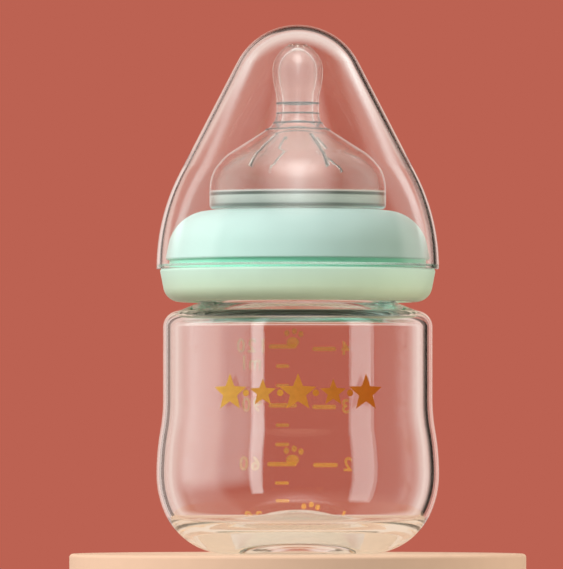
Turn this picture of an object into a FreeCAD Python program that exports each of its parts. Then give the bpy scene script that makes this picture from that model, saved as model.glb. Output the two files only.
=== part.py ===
"""A wide-necked glass feeding bottle: bottle, teat, screw collar, collar band and domed cap.

All sizes are millimetres and degrees. The bottle's axis is +Z, its foot stands on z = 0 and its front
faces -Y. Heights follow from one another up the bottle: foot, belly, waist, shoulder, neck, teat, cap.
"""
import FreeCAD, Part
import math
import os

# Glass bottle: foot and belly
BELLY_HEIGHT = 18.2
BELLY_SWELL = 1.5
BELLY_ARC_RADIUS = 22.0
BELLY_ARC_ANGLE = 24.0
FOOT_RING_WIDTH = 5.0
FOOT_RECESS_DEPTH = 1.2

# Glass bottle: waist and shoulder
WAIST_RADIUS = 30.7
WAIST_RISE = 16.8
WAIST_LENGTH = 19.3
WAIST_FLARE_SHARE = 0.6
SHOULDER_SLOPE = 18.5
SHOULDER_CORNER_RADIUS = 3.8

# Glass bottle: neck
NECK_RADIUS = 22.4
NECK_HEIGHT = 16.6
NECK_WALL = 2.8
NECK_FILLET_RADIUS = 0.8
RIM_EDGE_RADIUS = 0.6
BEAD_PROJECTION = 2.4
BEAD_HEIGHT = 1.4
BEAD_RISE = 0.8
BEAD_EDGE_RADIUS = 0.5

# Glass bottle: inside
GLASS_WALL = 2.0
FLOOR_HEIGHT = 6.2
BOWL_ANGLE = 26.0
FLOOR_DOME_RADIUS = 16.0
FLOOR_DOME_HEIGHT = 3.8
FLOOR_DOME_SHARE = 0.2
THROAT_FILLET_RADIUS = 2.5

# Thread between the neck and the collar
THREAD_PITCH = 4.5
THREAD_TURNS = 1.5
THREAD_BELOW_RIM = 2.8
NECK_THREAD_DEPTH = 1.5
NECK_THREAD_WIDTH = 1.9
NECK_THREAD_CREST = 0.9
COLLAR_THREAD_DEPTH = 1.45
COLLAR_THREAD_WIDTH = 1.9
COLLAR_THREAD_CREST = 0.9
THREAD_RADIAL_CLEARANCE = 0.5
THREAD_FLANK_CLEARANCE = 0.3
THREAD_ROOT_SINK = 0.3

# Teat: flange, plug and groove
FLANGE_THICKNESS = 2.0
FLANGE_CLEARANCE = 0.8
FLANGE_EDGE_RADIUS = 0.4
PLUG_DEPTH = 2.2
PLUG_CLEARANCE = 0.4
PLUG_WALL = 2.4
LIP_OVERLAP = 0.9
LIP_CLEARANCE = 0.3
LIP_GAP = 0.2

# Teat: domed shoulder
TEAT_WALL = 1.5
DOME_RISE = 10.3
DOME_SLOPE = 32.2
DOME_CORNER_RADIUS = 10.8
RING_EDGE_RADIUS = 0.9
RING_DROP = 0.4
RIB_COUNT = 6
RIB_FIRST_ANGLE = -127.5
RIB_END_ANGLE = 33.0
RIB_WIDTH = 0.7
RIB_HEIGHT = 0.8
RIB_NIPPLE_GAP = 2.6

# Teat: nipple
NIPPLE_RADIUS = 4.8
NIPPLE_STRAIGHT = 2.4
NIPPLE_FLARE_RADIUS = 4.4
NIPPLE_WALL = 1.5
BULB_SWELL = 0.95
BULB_TAPER_HEIGHT = 6.9
BULB_TAPER_SHARE = 0.4
BULB_CROWN_HEIGHT = 5.9
TIP_PAD_RADIUS = 2.2
TIP_PAD_HEIGHT = 0.3
FEED_HOLE_RADIUS = 0.35
HOOP_COUNT = 4
HOOP_SPACING = 2.3
HOOP_ABOVE_FLARE = 2.0
HOOP_THICKNESS = 0.4

# Screw collar
CROWN_THICKNESS = 2.3
CROWN_SLOPE = 6.8
CROWN_OVERLAP = 4.4
CROWN_CORNER_RADIUS = 9.5
CROWN_EDGE_RADIUS = 0.5
COLLAR_DRAFT = 11.3
COLLAR_UPPER_HEIGHT = 13.3
COLLAR_EDGE_RADIUS = 0.4
GROOVE_HEIGHT = 2.1
GROOVE_DEPTH = 0.9
SKIRT_WALL = 1.4
SKIRT_BEAD_GAP = 0.8
SKIRT_LEAD_IN = 0.4
CAVITY_WIDTH = 1.2
CAVITY_ROOF = 2.0
SPIGOT_WALL = 1.3
SPIGOT_STEP = 0.9
SPIGOT_END_GAP = 0.3

# Collar band
BAND_LEDGE_WIDTH = 2.2
BAND_EDGE_RADIUS = 0.4
BAND_DRAFT = 11.0
BAND_CORNER_RADIUS = 3.8
BAND_FLOOR = 1.3
BAND_FIT = 0.05
BAND_SHOULDER_GAP = 1.3
BAND_BEAD_GAP = 0.7

# Domed cap
CAP_CLEARANCE = 0.3
CAP_RIM_WALL = 1.8
CAP_RIM_HEIGHT = 0.5
CAP_RIM_BLEND = 0.6
CAP_RIM_EDGE_RADIUS = 0.3
CAP_WALL = 1.2
CAP_SIDE_RADIUS = 46.4
CAP_TOP_RADIUS = 15.5
CAP_HEADROOM = 3.2

AXIS = FreeCAD.Vector(0, 0, 1)
ORIGIN = FreeCAD.Vector(0, 0, 0)
SAME_PLACE = 1e-6

# Directions from an arc's centre in the half plane
OUTWARD = 0.0
UPWARD = 90.0
DOWNWARD = -90.0


def sine(angle):
    """Sine of an angle in degrees."""
    return math.sin(math.radians(angle))


def cosine(angle):
    """Cosine of an angle in degrees."""
    return math.cos(math.radians(angle))


def tangent(angle):
    """Tangent of an angle in degrees."""
    return math.tan(math.radians(angle))


def point(radius, height):
    """A point of an outline, in the half plane y = 0."""
    return FreeCAD.Vector(radius, 0, height)


class Outline:
    """A closed outline in the half plane of radius and height, drawn edge after edge."""

    def __init__(self, radius, height):
        self.start = point(radius, height)
        self.here = self.start
        self.edges = []

    def line(self, radius, height):
        """Draw a straight edge, unless the pen is there already."""
        there = point(radius, height)
        if there.distanceToPoint(self.here) > SAME_PLACE:
            self.edges.append(Part.makeLine(self.here, there))
            self.here = there

    def arc_through(self, middle, last):
        """Draw an arc from the pen through a middle point to a last point."""
        self.edges.append(Part.Arc(self.here, middle, last).toShape())
        self.here = last

    def arc(self, centre, radius, start_angle, end_angle):
        """Draw an arc about a centre, after a line to where it starts."""
        stops = []
        for angle in (start_angle, (start_angle + end_angle) / 2, end_angle):
            stops.append(point(centre[0] + radius * cosine(angle), centre[1] + radius * sine(angle)))
        self.line(stops[0].x, stops[0].z)
        self.arc_through(stops[1], stops[2])

    def bend(self, corner, after, radius):
        """Go towards a corner and round it with a tangent arc towards the point after it."""
        corner = point(*corner)
        back = (self.here - corner).normalize()
        ahead = (point(*after) - corner).normalize()
        half = back.getAngle(ahead) / 2
        first = corner + back * (radius / math.tan(half))
        last = corner + ahead * (radius / math.tan(half))
        inward = (back + ahead).normalize()
        middle = corner + inward * (radius / math.sin(half) - radius)
        self.line(first.x, first.z)
        self.arc_through(middle, last)

    def swell(self, end, share, upright=True):
        """Draw an S of two tangent arcs to the end point, upright or level at both ends.

        The share is the first arc's part of the two radii together.
        """
        begin = (self.here.x, self.here.z)
        across, along = end[0] - begin[0], end[1] - begin[1]
        if not upright:
            across, along = along, across
        turn = 2 * math.degrees(math.atan2(abs(across), abs(along)))
        total = abs(along) / sine(turn)

        def stop(corner, radius, angle):
            sideways = math.copysign(radius * (1 - cosine(angle)), across * radius)
            onward = math.copysign(radius * sine(angle), along * radius)
            if upright:
                return point(corner[0] + sideways, corner[1] + onward)
            return point(corner[0] + onward, corner[1] + sideways)

        first = total * share
        last = total - first
        self.arc_through(stop(begin, first, turn / 2), stop(begin, first, turn))
        self.arc_through(stop(end, -last, turn / 2), point(*end))

    def face(self):
        """Close the outline and fill it."""
        self.line(self.start.x, self.start.z)
        return Part.Face(Part.Wire(self.edges))

    def turned(self):
        """Turn the filled outline about the bottle's axis."""
        return self.face().revolve(ORIGIN, AXIS, 360)


# Radii and heights that follow from the driving sizes, from the foot up
belly_radius = WAIST_RADIUS + BELLY_SWELL
waist_height = BELLY_HEIGHT + WAIST_RISE
shoulder_height = waist_height + WAIST_LENGTH
bore_radius = NECK_RADIUS - NECK_WALL
bead_radius = NECK_RADIUS + BEAD_PROJECTION


def shoulder_surface(radius):
    """Height of the glass shoulder's outer slope at a radius."""
    return shoulder_height + (WAIST_RADIUS - radius) * tangent(SHOULDER_SLOPE)


neck_foot = shoulder_surface(NECK_RADIUS)
bead_foot = neck_foot + BEAD_RISE
bead_top = bead_foot + BEAD_HEIGHT
rim_height = neck_foot + NECK_HEIGHT
flange_top = rim_height + FLANGE_THICKNESS
crown_top = flange_top + CROWN_THICKNESS

skirt_bore = NECK_RADIUS + NECK_THREAD_DEPTH + THREAD_RADIAL_CLEARANCE
skirt_radius = skirt_bore + SKIRT_WALL
cavity_radius = skirt_radius + CAVITY_WIDTH
spigot_radius = cavity_radius + SPIGOT_WALL
groove_radius = spigot_radius + SPIGOT_STEP
collar_radius = groove_radius + GROOVE_DEPTH
flange_radius = skirt_bore - FLANGE_CLEARANCE
hole_radius = flange_radius - CROWN_OVERLAP
teat_radius = hole_radius + LIP_OVERLAP

ledge_height = crown_top - COLLAR_UPPER_HEIGHT
collar_foot = ledge_height + GROOVE_HEIGHT
band_radius = groove_radius + BAND_LEDGE_WIDTH
band_bore = bead_radius + BAND_BEAD_GAP
band_foot = shoulder_surface(band_bore) + BAND_SHOULDER_GAP
band_floor_top = band_foot + BAND_FLOOR
skirt_foot = bead_top + SKIRT_BEAD_GAP

thread_height = THREAD_PITCH * THREAD_TURNS
neck_thread_foot = rim_height - THREAD_BELOW_RIM - thread_height
thread_drop = (NECK_THREAD_WIDTH + COLLAR_THREAD_WIDTH) / 2 + THREAD_FLANK_CLEARANCE
collar_thread_foot = neck_thread_foot - thread_drop

dome_foot = crown_top + LIP_GAP
dome_corner = dome_foot + DOME_RISE
dome_turn = UPWARD - DOME_SLOPE
dome_arc_centre = (teat_radius - DOME_CORNER_RADIUS, dome_corner - DOME_CORNER_RADIUS * tangent(dome_turn / 2))


def dome_surface(radius, depth=0):
    """Height of the teat's conical shoulder at a radius, at a depth under its outer face."""
    return dome_corner + (teat_radius - radius) * tangent(DOME_SLOPE) - depth / cosine(DOME_SLOPE)


nipple_corner = dome_surface(NIPPLE_RADIUS)
flare_top = nipple_corner + NIPPLE_FLARE_RADIUS * tangent(dome_turn / 2)
taper_foot = flare_top + NIPPLE_STRAIGHT
bulb_radius = NIPPLE_RADIUS + BULB_SWELL
bulb_height = taper_foot + BULB_TAPER_HEIGHT
tip_height = bulb_height + BULB_CROWN_HEIGHT + TIP_PAD_HEIGHT

cap_bore = collar_radius + CAP_CLEARANCE
cap_radius = cap_bore + CAP_RIM_WALL
cap_top = tip_height + CAP_HEADROOM + CAP_WALL


def thread_ridge(root, crest, root_width, crest_width, foot):
    """A helical ridge on a wall of radius root, its middle starting at height foot on +X."""
    inward = math.copysign(THREAD_ROOT_SINK, crest - root)
    flare = (root_width - crest_width) / 2 * THREAD_ROOT_SINK / abs(crest - root)
    half_root = root_width / 2 + flare
    half_crest = crest_width / 2
    corners = [
        point(root - inward, foot - half_root),
        point(crest, foot - half_crest),
        point(crest, foot + half_crest),
        point(root - inward, foot + half_root),
    ]
    path = Part.makeHelix(THREAD_PITCH, thread_height, root)
    path.translate(AXIS * foot)
    section = Part.makePolygon(corners + corners[:1])
    return path.makePipeShell([section], True, True)


def make_bottle():
    """Glass bottle: recessed foot, heel, belly, waist, shoulder, bead, threaded neck and cavity."""
    heel_top = BELLY_HEIGHT - BELLY_ARC_RADIUS * sine(BELLY_ARC_ANGLE)
    heel_radius = heel_top / (1 - sine(BELLY_ARC_ANGLE))
    foot_radius = belly_radius - BELLY_ARC_RADIUS + (BELLY_ARC_RADIUS - heel_radius) * cosine(BELLY_ARC_ANGLE)
    recess_radius = foot_radius - FOOT_RING_WIDTH
    recess_arc = (recess_radius ** 2 + FOOT_RECESS_DEPTH ** 2) / (2 * FOOT_RECESS_DEPTH)
    recess_edge = math.degrees(math.acos(recess_radius / recess_arc))

    glass = Outline(0, FOOT_RECESS_DEPTH)
    glass.arc((0, FOOT_RECESS_DEPTH - recess_arc), recess_arc, UPWARD, recess_edge)
    glass.arc((foot_radius, heel_radius), heel_radius, DOWNWARD, -BELLY_ARC_ANGLE)
    glass.arc((belly_radius - BELLY_ARC_RADIUS, BELLY_HEIGHT), BELLY_ARC_RADIUS, -BELLY_ARC_ANGLE, OUTWARD)
    glass.swell((WAIST_RADIUS, waist_height), WAIST_FLARE_SHARE)
    glass.bend((WAIST_RADIUS, shoulder_height), (NECK_RADIUS, neck_foot), SHOULDER_CORNER_RADIUS)
    glass.bend((NECK_RADIUS, neck_foot), (NECK_RADIUS, bead_foot), NECK_FILLET_RADIUS)
    glass.line(NECK_RADIUS, bead_foot)
    glass.bend((bead_radius, bead_foot), (bead_radius, bead_top), BEAD_EDGE_RADIUS)
    glass.bend((bead_radius, bead_top), (NECK_RADIUS, bead_top), BEAD_EDGE_RADIUS)
    glass.line(NECK_RADIUS, bead_top)
    glass.bend((NECK_RADIUS, rim_height), (bore_radius, rim_height), RIM_EDGE_RADIUS)

    inner_waist = WAIST_RADIUS - GLASS_WALL
    inner_belly = belly_radius - GLASS_WALL
    under_shoulder = GLASS_WALL / cosine(SHOULDER_SLOPE)
    throat = (bore_radius, shoulder_surface(bore_radius) - under_shoulder)
    inner_shoulder = (inner_waist, shoulder_surface(inner_waist) - under_shoulder)
    inner_corner = SHOULDER_CORNER_RADIUS - GLASS_WALL
    bowl_radius = BELLY_ARC_RADIUS - GLASS_WALL
    bowl_middle = belly_radius - BELLY_ARC_RADIUS
    floor_depth = BELLY_HEIGHT - FLOOR_HEIGHT
    inner_heel = (floor_depth - bowl_radius * sine(BOWL_ANGLE)) / (1 - sine(BOWL_ANGLE))
    heel_middle = bowl_middle + (bowl_radius - inner_heel) * cosine(BOWL_ANGLE)
    glass.bend((bore_radius, rim_height), throat, RIM_EDGE_RADIUS)
    glass.bend(throat, inner_shoulder, THROAT_FILLET_RADIUS)
    glass.bend(inner_shoulder, (inner_waist, waist_height), inner_corner)
    glass.line(inner_waist, waist_height)
    glass.swell((inner_belly, BELLY_HEIGHT), 1 - WAIST_FLARE_SHARE)
    glass.arc((bowl_middle, BELLY_HEIGHT), bowl_radius, OUTWARD, -BOWL_ANGLE)
    glass.arc((heel_middle, FLOOR_HEIGHT + inner_heel), inner_heel, -BOWL_ANGLE, DOWNWARD)
    glass.line(FLOOR_DOME_RADIUS, FLOOR_HEIGHT)
    glass.swell((0, FLOOR_HEIGHT + FLOOR_DOME_HEIGHT), FLOOR_DOME_SHARE, upright=False)

    crest = NECK_RADIUS + NECK_THREAD_DEPTH
    ridge = thread_ridge(NECK_RADIUS, crest, NECK_THREAD_WIDTH, NECK_THREAD_CREST, neck_thread_foot)
    return glass.turned().fuse(ridge)


def flare_point(distance):
    """A point on the nipple's outer face, a distance along it below the top of its flare."""
    if distance <= 0:
        return NIPPLE_RADIUS, flare_top - distance
    angle = min(math.degrees(distance / NIPPLE_FLARE_RADIUS), dome_turn)
    left = distance - math.radians(angle) * NIPPLE_FLARE_RADIUS
    radius = NIPPLE_RADIUS + NIPPLE_FLARE_RADIUS * (1 - cosine(angle)) + left * cosine(DOME_SLOPE)
    height = flare_top - NIPPLE_FLARE_RADIUS * sine(angle) - left * sine(DOME_SLOPE)
    return radius, height


def make_rib():
    """One rib under the teat's shoulder, in the plane y = 0, sunk half way into the wall."""
    sink = TEAT_WALL / 2
    depth = TEAT_WALL + RIB_HEIGHT
    begin = NIPPLE_RADIUS + RIB_NIPPLE_GAP
    rib = Outline(begin, dome_surface(begin, sink))
    rib.arc(dome_arc_centre, DOME_CORNER_RADIUS - sink, dome_turn, RIB_END_ANGLE)
    rib.arc(dome_arc_centre, DOME_CORNER_RADIUS - depth, RIB_END_ANGLE, dome_turn)
    rib.line(begin, dome_surface(begin, depth))
    solid = rib.face().extrude(FreeCAD.Vector(0, RIB_WIDTH, 0))
    solid.translate(FreeCAD.Vector(0, -RIB_WIDTH / 2, 0))
    return solid


def make_teat():
    """Silicone teat: plug, flange, groove, domed shoulder, ribs, nipple with hoops, and feed hole."""
    groove = hole_radius - LIP_CLEARANCE
    plug_radius = bore_radius - PLUG_CLEARANCE
    plug_bore = plug_radius - PLUG_WALL
    plug_foot = rim_height - PLUG_DEPTH
    pad_drop = bulb_radius - TIP_PAD_RADIUS
    crown_arc = (pad_drop ** 2 + BULB_CROWN_HEIGHT ** 2) / (2 * pad_drop)
    crown_centre = (bulb_radius - crown_arc, bulb_height)
    pad_angle = math.degrees(math.asin(BULB_CROWN_HEIGHT / crown_arc))

    silicone = Outline(plug_bore, plug_foot)
    silicone.line(plug_radius, plug_foot)
    silicone.line(plug_radius, rim_height)
    silicone.bend((flange_radius, rim_height), (flange_radius, flange_top), FLANGE_EDGE_RADIUS)
    silicone.bend((flange_radius, flange_top), (groove, flange_top), FLANGE_EDGE_RADIUS)
    silicone.line(groove, flange_top)
    silicone.line(groove, dome_foot)
    silicone.bend((teat_radius, dome_foot), (teat_radius, dome_corner), RING_EDGE_RADIUS)
    silicone.bend((teat_radius, dome_corner), (NIPPLE_RADIUS, nipple_corner), DOME_CORNER_RADIUS)
    silicone.bend((NIPPLE_RADIUS, nipple_corner), (NIPPLE_RADIUS, flare_top), NIPPLE_FLARE_RADIUS)
    silicone.line(NIPPLE_RADIUS, taper_foot)
    silicone.swell((bulb_radius, bulb_height), BULB_TAPER_SHARE)
    silicone.arc(crown_centre, crown_arc, OUTWARD, pad_angle)
    silicone.line(TIP_PAD_RADIUS, tip_height)
    silicone.line(FEED_HOLE_RADIUS, tip_height)

    inner_crown = crown_arc - NIPPLE_WALL
    hole_angle = math.degrees(math.acos((FEED_HOLE_RADIUS - crown_centre[0]) / inner_crown))
    inner_nipple = NIPPLE_RADIUS - NIPPLE_WALL
    inner_wall = teat_radius - TEAT_WALL
    inner_corner = (inner_wall, dome_surface(inner_wall, TEAT_WALL))
    inner_flare = (inner_nipple, dome_surface(inner_nipple, TEAT_WALL))
    ring_top = dome_arc_centre[1] - RING_DROP
    silicone.arc(crown_centre, inner_crown, hole_angle, OUTWARD)
    silicone.swell((inner_nipple, taper_foot), 1 - BULB_TAPER_SHARE)
    silicone.bend(inner_flare, inner_corner, NIPPLE_FLARE_RADIUS)
    silicone.bend(inner_corner, (inner_wall, ring_top), DOME_CORNER_RADIUS - TEAT_WALL)
    silicone.line(inner_wall, ring_top)
    silicone.line(plug_bore, ring_top)

    extras = []
    for number in range(RIB_COUNT):
        rib = make_rib()
        rib.rotate(ORIGIN, AXIS, RIB_FIRST_ANGLE + number * 360 / RIB_COUNT)
        extras.append(rib)
    for number in range(HOOP_COUNT):
        radius, height = flare_point(number * HOOP_SPACING - HOOP_ABOVE_FLARE)
        extras.append(Part.makeTorus(radius, HOOP_THICKNESS / 2, point(0, height)))
    return silicone.turned().fuse(extras)


def make_collar():
    """Screw collar: sloping crown with the teat's hole, outer wall with the cap's groove, threaded skirt."""
    crown = tangent(CROWN_SLOPE)
    draft = tangent(COLLAR_DRAFT)
    corner_radius = collar_radius - (crown_top + hole_radius * crown - collar_foot) * draft
    corner_radius = corner_radius / (1 - crown * draft)
    corner = (corner_radius, crown_top - (corner_radius - hole_radius) * crown)
    cavity_top = flange_top - CAVITY_ROOF
    spigot_foot = band_floor_top + SPIGOT_END_GAP

    collar = Outline(hole_radius, flange_top)
    collar.bend((hole_radius, crown_top), corner, CROWN_EDGE_RADIUS)
    collar.bend(corner, (collar_radius, collar_foot), CROWN_CORNER_RADIUS)
    collar.bend((collar_radius, collar_foot), (groove_radius, collar_foot), COLLAR_EDGE_RADIUS)
    collar.line(groove_radius, collar_foot)
    collar.line(groove_radius, ledge_height)
    collar.line(spigot_radius, ledge_height)
    collar.line(spigot_radius, spigot_foot)
    collar.line(cavity_radius, spigot_foot)
    collar.line(cavity_radius, cavity_top)
    collar.line(skirt_radius, cavity_top)
    collar.line(skirt_radius, skirt_foot)
    collar.line(skirt_bore + SKIRT_LEAD_IN, skirt_foot)
    collar.line(skirt_bore, skirt_foot + SKIRT_LEAD_IN)
    collar.line(skirt_bore, flange_top)

    crest = skirt_bore - COLLAR_THREAD_DEPTH
    ridge = thread_ridge(skirt_bore, crest, COLLAR_THREAD_WIDTH, COLLAR_THREAD_CREST, collar_thread_foot)
    return collar.turned().fuse(ridge)


def make_band():
    """Band round the collar's foot: the cap's ledge, a tapering side and a floor under the spigot."""
    inner = spigot_radius + BAND_FIT
    side_foot = band_radius - (ledge_height - band_foot) * tangent(BAND_DRAFT)
    band = Outline(inner, ledge_height)
    band.bend((band_radius, ledge_height), (side_foot, band_foot), BAND_EDGE_RADIUS)
    band.bend((side_foot, band_foot), (band_bore, band_foot), BAND_CORNER_RADIUS)
    band.line(band_bore, band_foot)
    band.line(band_bore, band_floor_top)
    band.line(inner, band_floor_top)
    return band.turned()


def make_cap():
    """Domed cap: its flank is the line that touches both the round top and the wide side arc."""
    top_centre = (0, cap_top - CAP_TOP_RADIUS)

    def flank_angle(wall_radius, wall_top, top_radius):
        rise = top_centre[1] - wall_top
        offset = CAP_SIDE_RADIUS - wall_radius
        share = (CAP_SIDE_RADIUS - top_radius) / math.hypot(rise, offset)
        return math.degrees(math.asin(share) - math.atan2(offset, rise))

    rim_top = ledge_height + CAP_RIM_HEIGHT
    wall_foot = rim_top + CAP_RIM_BLEND
    inner_wall = cap_radius - CAP_WALL
    inner_top = CAP_TOP_RADIUS - CAP_WALL
    outer_flank = flank_angle(cap_radius, rim_top, CAP_TOP_RADIUS)
    inner_flank = flank_angle(inner_wall, wall_foot, inner_top)

    cap = Outline(cap_bore, ledge_height)
    cap.bend((cap_radius, ledge_height), (cap_radius, rim_top), CAP_RIM_EDGE_RADIUS)
    cap.arc((cap_radius - CAP_SIDE_RADIUS, rim_top), CAP_SIDE_RADIUS, OUTWARD, outer_flank)
    cap.arc(top_centre, CAP_TOP_RADIUS, outer_flank, UPWARD)
    cap.arc(top_centre, inner_top, UPWARD, inner_flank)
    cap.arc((inner_wall - CAP_SIDE_RADIUS, wall_foot), CAP_SIDE_RADIUS, inner_flank, OUTWARD)
    cap.line(cap_bore, rim_top)
    return cap.turned()


os.makedirs("parts", exist_ok=True)
make_bottle().exportStep("parts/bottle_body.step")
make_teat().exportStep("parts/teat.step")
make_collar().exportStep("parts/screw_collar.step")
make_band().exportStep("parts/collar_band.step")
make_cap().exportStep("parts/dome_cap.step")
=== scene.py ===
"""Looks of a wide-necked glass feeding bottle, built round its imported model.

The classes hold the bottle's sizes in millimetres and degrees, as its maker would give them. Meshes are made
in metres, in the model's own frame: the axis is +Z, the foot stands on z = 0 and the front faces -Y.
"""

import logging
import math
from dataclasses import dataclass, field
from enum import Enum

import bmesh
import bpy
from bpy.types import Light, Material, Mesh, Node, NodeSocket, NodeTree, Object
from mathutils import Matrix, Vector


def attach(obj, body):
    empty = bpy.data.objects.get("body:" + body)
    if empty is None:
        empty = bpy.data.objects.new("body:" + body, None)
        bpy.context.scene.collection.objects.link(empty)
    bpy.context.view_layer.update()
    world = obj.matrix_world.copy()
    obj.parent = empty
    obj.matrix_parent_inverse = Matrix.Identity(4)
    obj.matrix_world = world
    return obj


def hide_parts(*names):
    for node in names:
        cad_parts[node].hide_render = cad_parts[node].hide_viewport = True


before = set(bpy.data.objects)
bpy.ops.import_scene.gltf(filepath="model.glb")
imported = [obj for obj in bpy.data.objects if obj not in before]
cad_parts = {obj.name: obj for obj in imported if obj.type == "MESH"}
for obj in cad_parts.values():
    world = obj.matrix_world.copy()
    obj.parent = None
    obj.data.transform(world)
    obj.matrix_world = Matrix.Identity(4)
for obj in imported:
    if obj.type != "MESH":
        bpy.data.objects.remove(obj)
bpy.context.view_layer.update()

log = logging.getLogger("feeding_bottle")

MM = 0.001
SAME_PLACE = 1e-6
DOUBLED = 1e-7
EDGE_SUPPORT = 0.12
LONG_EDGE = 4 * EDGE_SUPPORT
RIDGE = "ridge"
FACING = "facing"
PAINTED_TINT_LEVEL = 2.0
WHITE = (1.0, 1.0, 1.0, 1.0)


class Body(Enum):
    """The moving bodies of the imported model."""

    BOTTLE = "bottle"
    TEAT = "teat"
    COLLAR = "collar"
    CAP = "cap"


class Slot(Enum):
    """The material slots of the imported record."""

    GLASS = "clear_glass"
    SILICONE = "clear_silicone"
    MINT = "mint_plastic"
    PALE_GREEN = "pale_green_plastic"
    CLEAR_PLASTIC = "clear_plastic"
    GOLD = "gold_print"


class Mark(Enum):
    """What an outline point carries besides the plain turned surface. A painted tint shows from both sides of it."""

    PLAIN = "plain"
    THREAD = "thread"
    RIB = "rib"
    TINT = "tint"


CARRIED = (Mark.THREAD, Mark.RIB, Mark.TINT)


class Side(Enum):
    """The side of the bottle that a print is on, as the angle of its middle about the axis."""

    FRONT = -90.0
    BACK = 90.0


class Use(Enum):
    """What a softbox is for: shading matt surfaces, or being mirrored in glossy and clear ones."""

    SHADING = "shading"
    REFLECTION = "reflection"


def sine(angle: float) -> float:
    """Sine of an angle in degrees."""
    return math.sin(math.radians(angle))


def cosine(angle: float) -> float:
    """Cosine of an angle in degrees."""
    return math.cos(math.radians(angle))


def tangent(angle: float) -> float:
    """Tangent of an angle in degrees."""
    return math.tan(math.radians(angle))


def around(middle: tuple[float, float], radius: float, angle: float) -> tuple[float, float]:
    """The point at a distance from a middle, at an angle in degrees."""
    return middle[0] + radius * cosine(angle), middle[1] + radius * sine(angle)


def shade(red: float, green: float, blue: float) -> tuple[float, float, float, float]:
    """Turn a colour as a screen shows it into the linear colour that shaders take.

    Args:
        red: Red from 0 to 255.
        green: Green from 0 to 255.
        blue: Blue from 0 to 255.

    Returns:
        The linear colour with an alpha of 1.
    """
    def linear(part: float) -> float:
        """Linear value of one part of the colour."""
        part = part / 255
        return part / 12.92 if part <= 0.04045 else ((part + 0.055) / 1.055) ** 2.4

    return linear(red), linear(green), linear(blue), 1.0


class NodeGraph:
    """Adds nodes to a node tree and links them."""

    def __init__(self, tree: NodeTree) -> None:
        """Take the tree that the nodes go into."""
        self.tree = tree

    def add(self, kind: str, inputs: dict | None = None, **settings: object) -> Node:
        """Add a node.

        Args:
            kind: The node's type.
            inputs: What each of its sockets gets, by name or number: another node's output or a value.
            **settings: The node's own settings.

        Returns:
            The new node.
        """
        node = self.tree.nodes.new(kind)
        for setting, value in settings.items():
            setattr(node, setting, value)
        for key, value in (inputs or {}).items():
            self.feed(node.inputs[key], value)
        return node

    def feed(self, socket: NodeSocket, value: object) -> None:
        """Link an output to a socket, or set the socket's own value.

        Args:
            socket: The socket.
            value: The output or the value.
        """
        if isinstance(value, NodeSocket):
            self.tree.links.new(value, socket)
        else:
            socket.default_value = value

    def maths(self, operation: str, *values: object) -> NodeSocket:
        """A sum of one, two or three values."""
        return self.add("ShaderNodeMath", dict(enumerate(values)), operation=operation).outputs["Value"]

    def split(self, vector: NodeSocket) -> list[NodeSocket]:
        """The three parts of a vector."""
        return list(self.add("ShaderNodeSeparateXYZ", {"Vector": vector}).outputs)


class ShaderGraph(NodeGraph):
    """Nodes of a material, a lamp or the surroundings."""

    NOISE_LOW = 0.3
    NOISE_HIGH = 0.7
    PATCH_DETAIL = 3
    ROUGH_DETAIL = 4
    GRAIN_DETAIL = 2

    def spot(self) -> NodeSocket:
        """Where a point is in its piece's own coordinates."""
        return self.add("ShaderNodeTexCoord").outputs["Object"]

    def spread(self, value: NodeSocket, low: float, high: float, first: float = 0.0, last: float = 1.0,
               curve: str = "LINEAR") -> NodeSocket:
        """Map a value from between low and high to between first and last, along a curve."""
        limits = {"Value": value, "From Min": low, "From Max": high, "To Min": first, "To Max": last}
        return self.add("ShaderNodeMapRange", limits, interpolation_type=curve).outputs["Result"]

    def noise(self, scale: float, detail: float, low: float, high: float) -> NodeSocket:
        """Noise over the piece's own coordinates, so many patches to a metre, spread between low and high."""
        noise = self.add("ShaderNodeTexNoise", {"Vector": self.spot(), "Scale": scale, "Detail": detail})
        return self.spread(noise.outputs["Fac"], self.NOISE_LOW, self.NOISE_HIGH, low, high)

    def rise(self, foot: float, top: float) -> NodeSocket:
        """How far up a point is between two heights in millimetres, from 0 to 1."""
        return self.spread(self.split(self.spot())[2], foot * MM, top * MM)

    def ramp(self, value: NodeSocket, stops: list | tuple) -> NodeSocket:
        """Turn a value into a colour.

        Args:
            value: The output that picks the colour.
            stops: Places along the ramp from 0 to 1, each with its linear colour.

        Returns:
            The colour's output.
        """
        node = self.add("ShaderNodeValToRGB", {"Fac": value})
        elements = node.color_ramp.elements
        while len(elements) < len(stops):
            elements.new(1.0)
        for element, (place, colour) in zip(elements, stops):
            element.position = place
            element.color = colour
        return node.outputs["Color"]

    def mixed(self, share: object, first: object, second: object, blend: str = "MIX") -> NodeSocket:
        """A colour made of two others.

        Args:
            share: How much the second counts.
            first: The first colour, or its output.
            second: The second colour, or its output.
            blend: How the two are joined.

        Returns:
            The colour's output.
        """
        node = self.add("ShaderNodeMix", {0: share}, data_type="RGBA", blend_type=blend)
        self.feed(node.inputs[6], first)
        self.feed(node.inputs[7], second)
        return node.outputs[2]

    def mottled(self, colour: NodeSocket, scale: float, darkest: float) -> NodeSocket:
        """A colour that is darker in patches, so many to a metre."""
        value = self.noise(scale, self.PATCH_DETAIL, darkest, 1.0)
        return self.add("ShaderNodeHueSaturation", {"Color": colour, "Value": value}).outputs["Color"]

    def grain(self, scale: float, depth: float) -> NodeSocket:
        """Normal of a surface with a fine grain, its depth in metres."""
        height = self.noise(scale, self.GRAIN_DETAIL, 0, 1)
        return self.add("ShaderNodeBump", {"Height": height, "Strength": 1.0, "Distance": depth}).outputs["Normal"]


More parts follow.
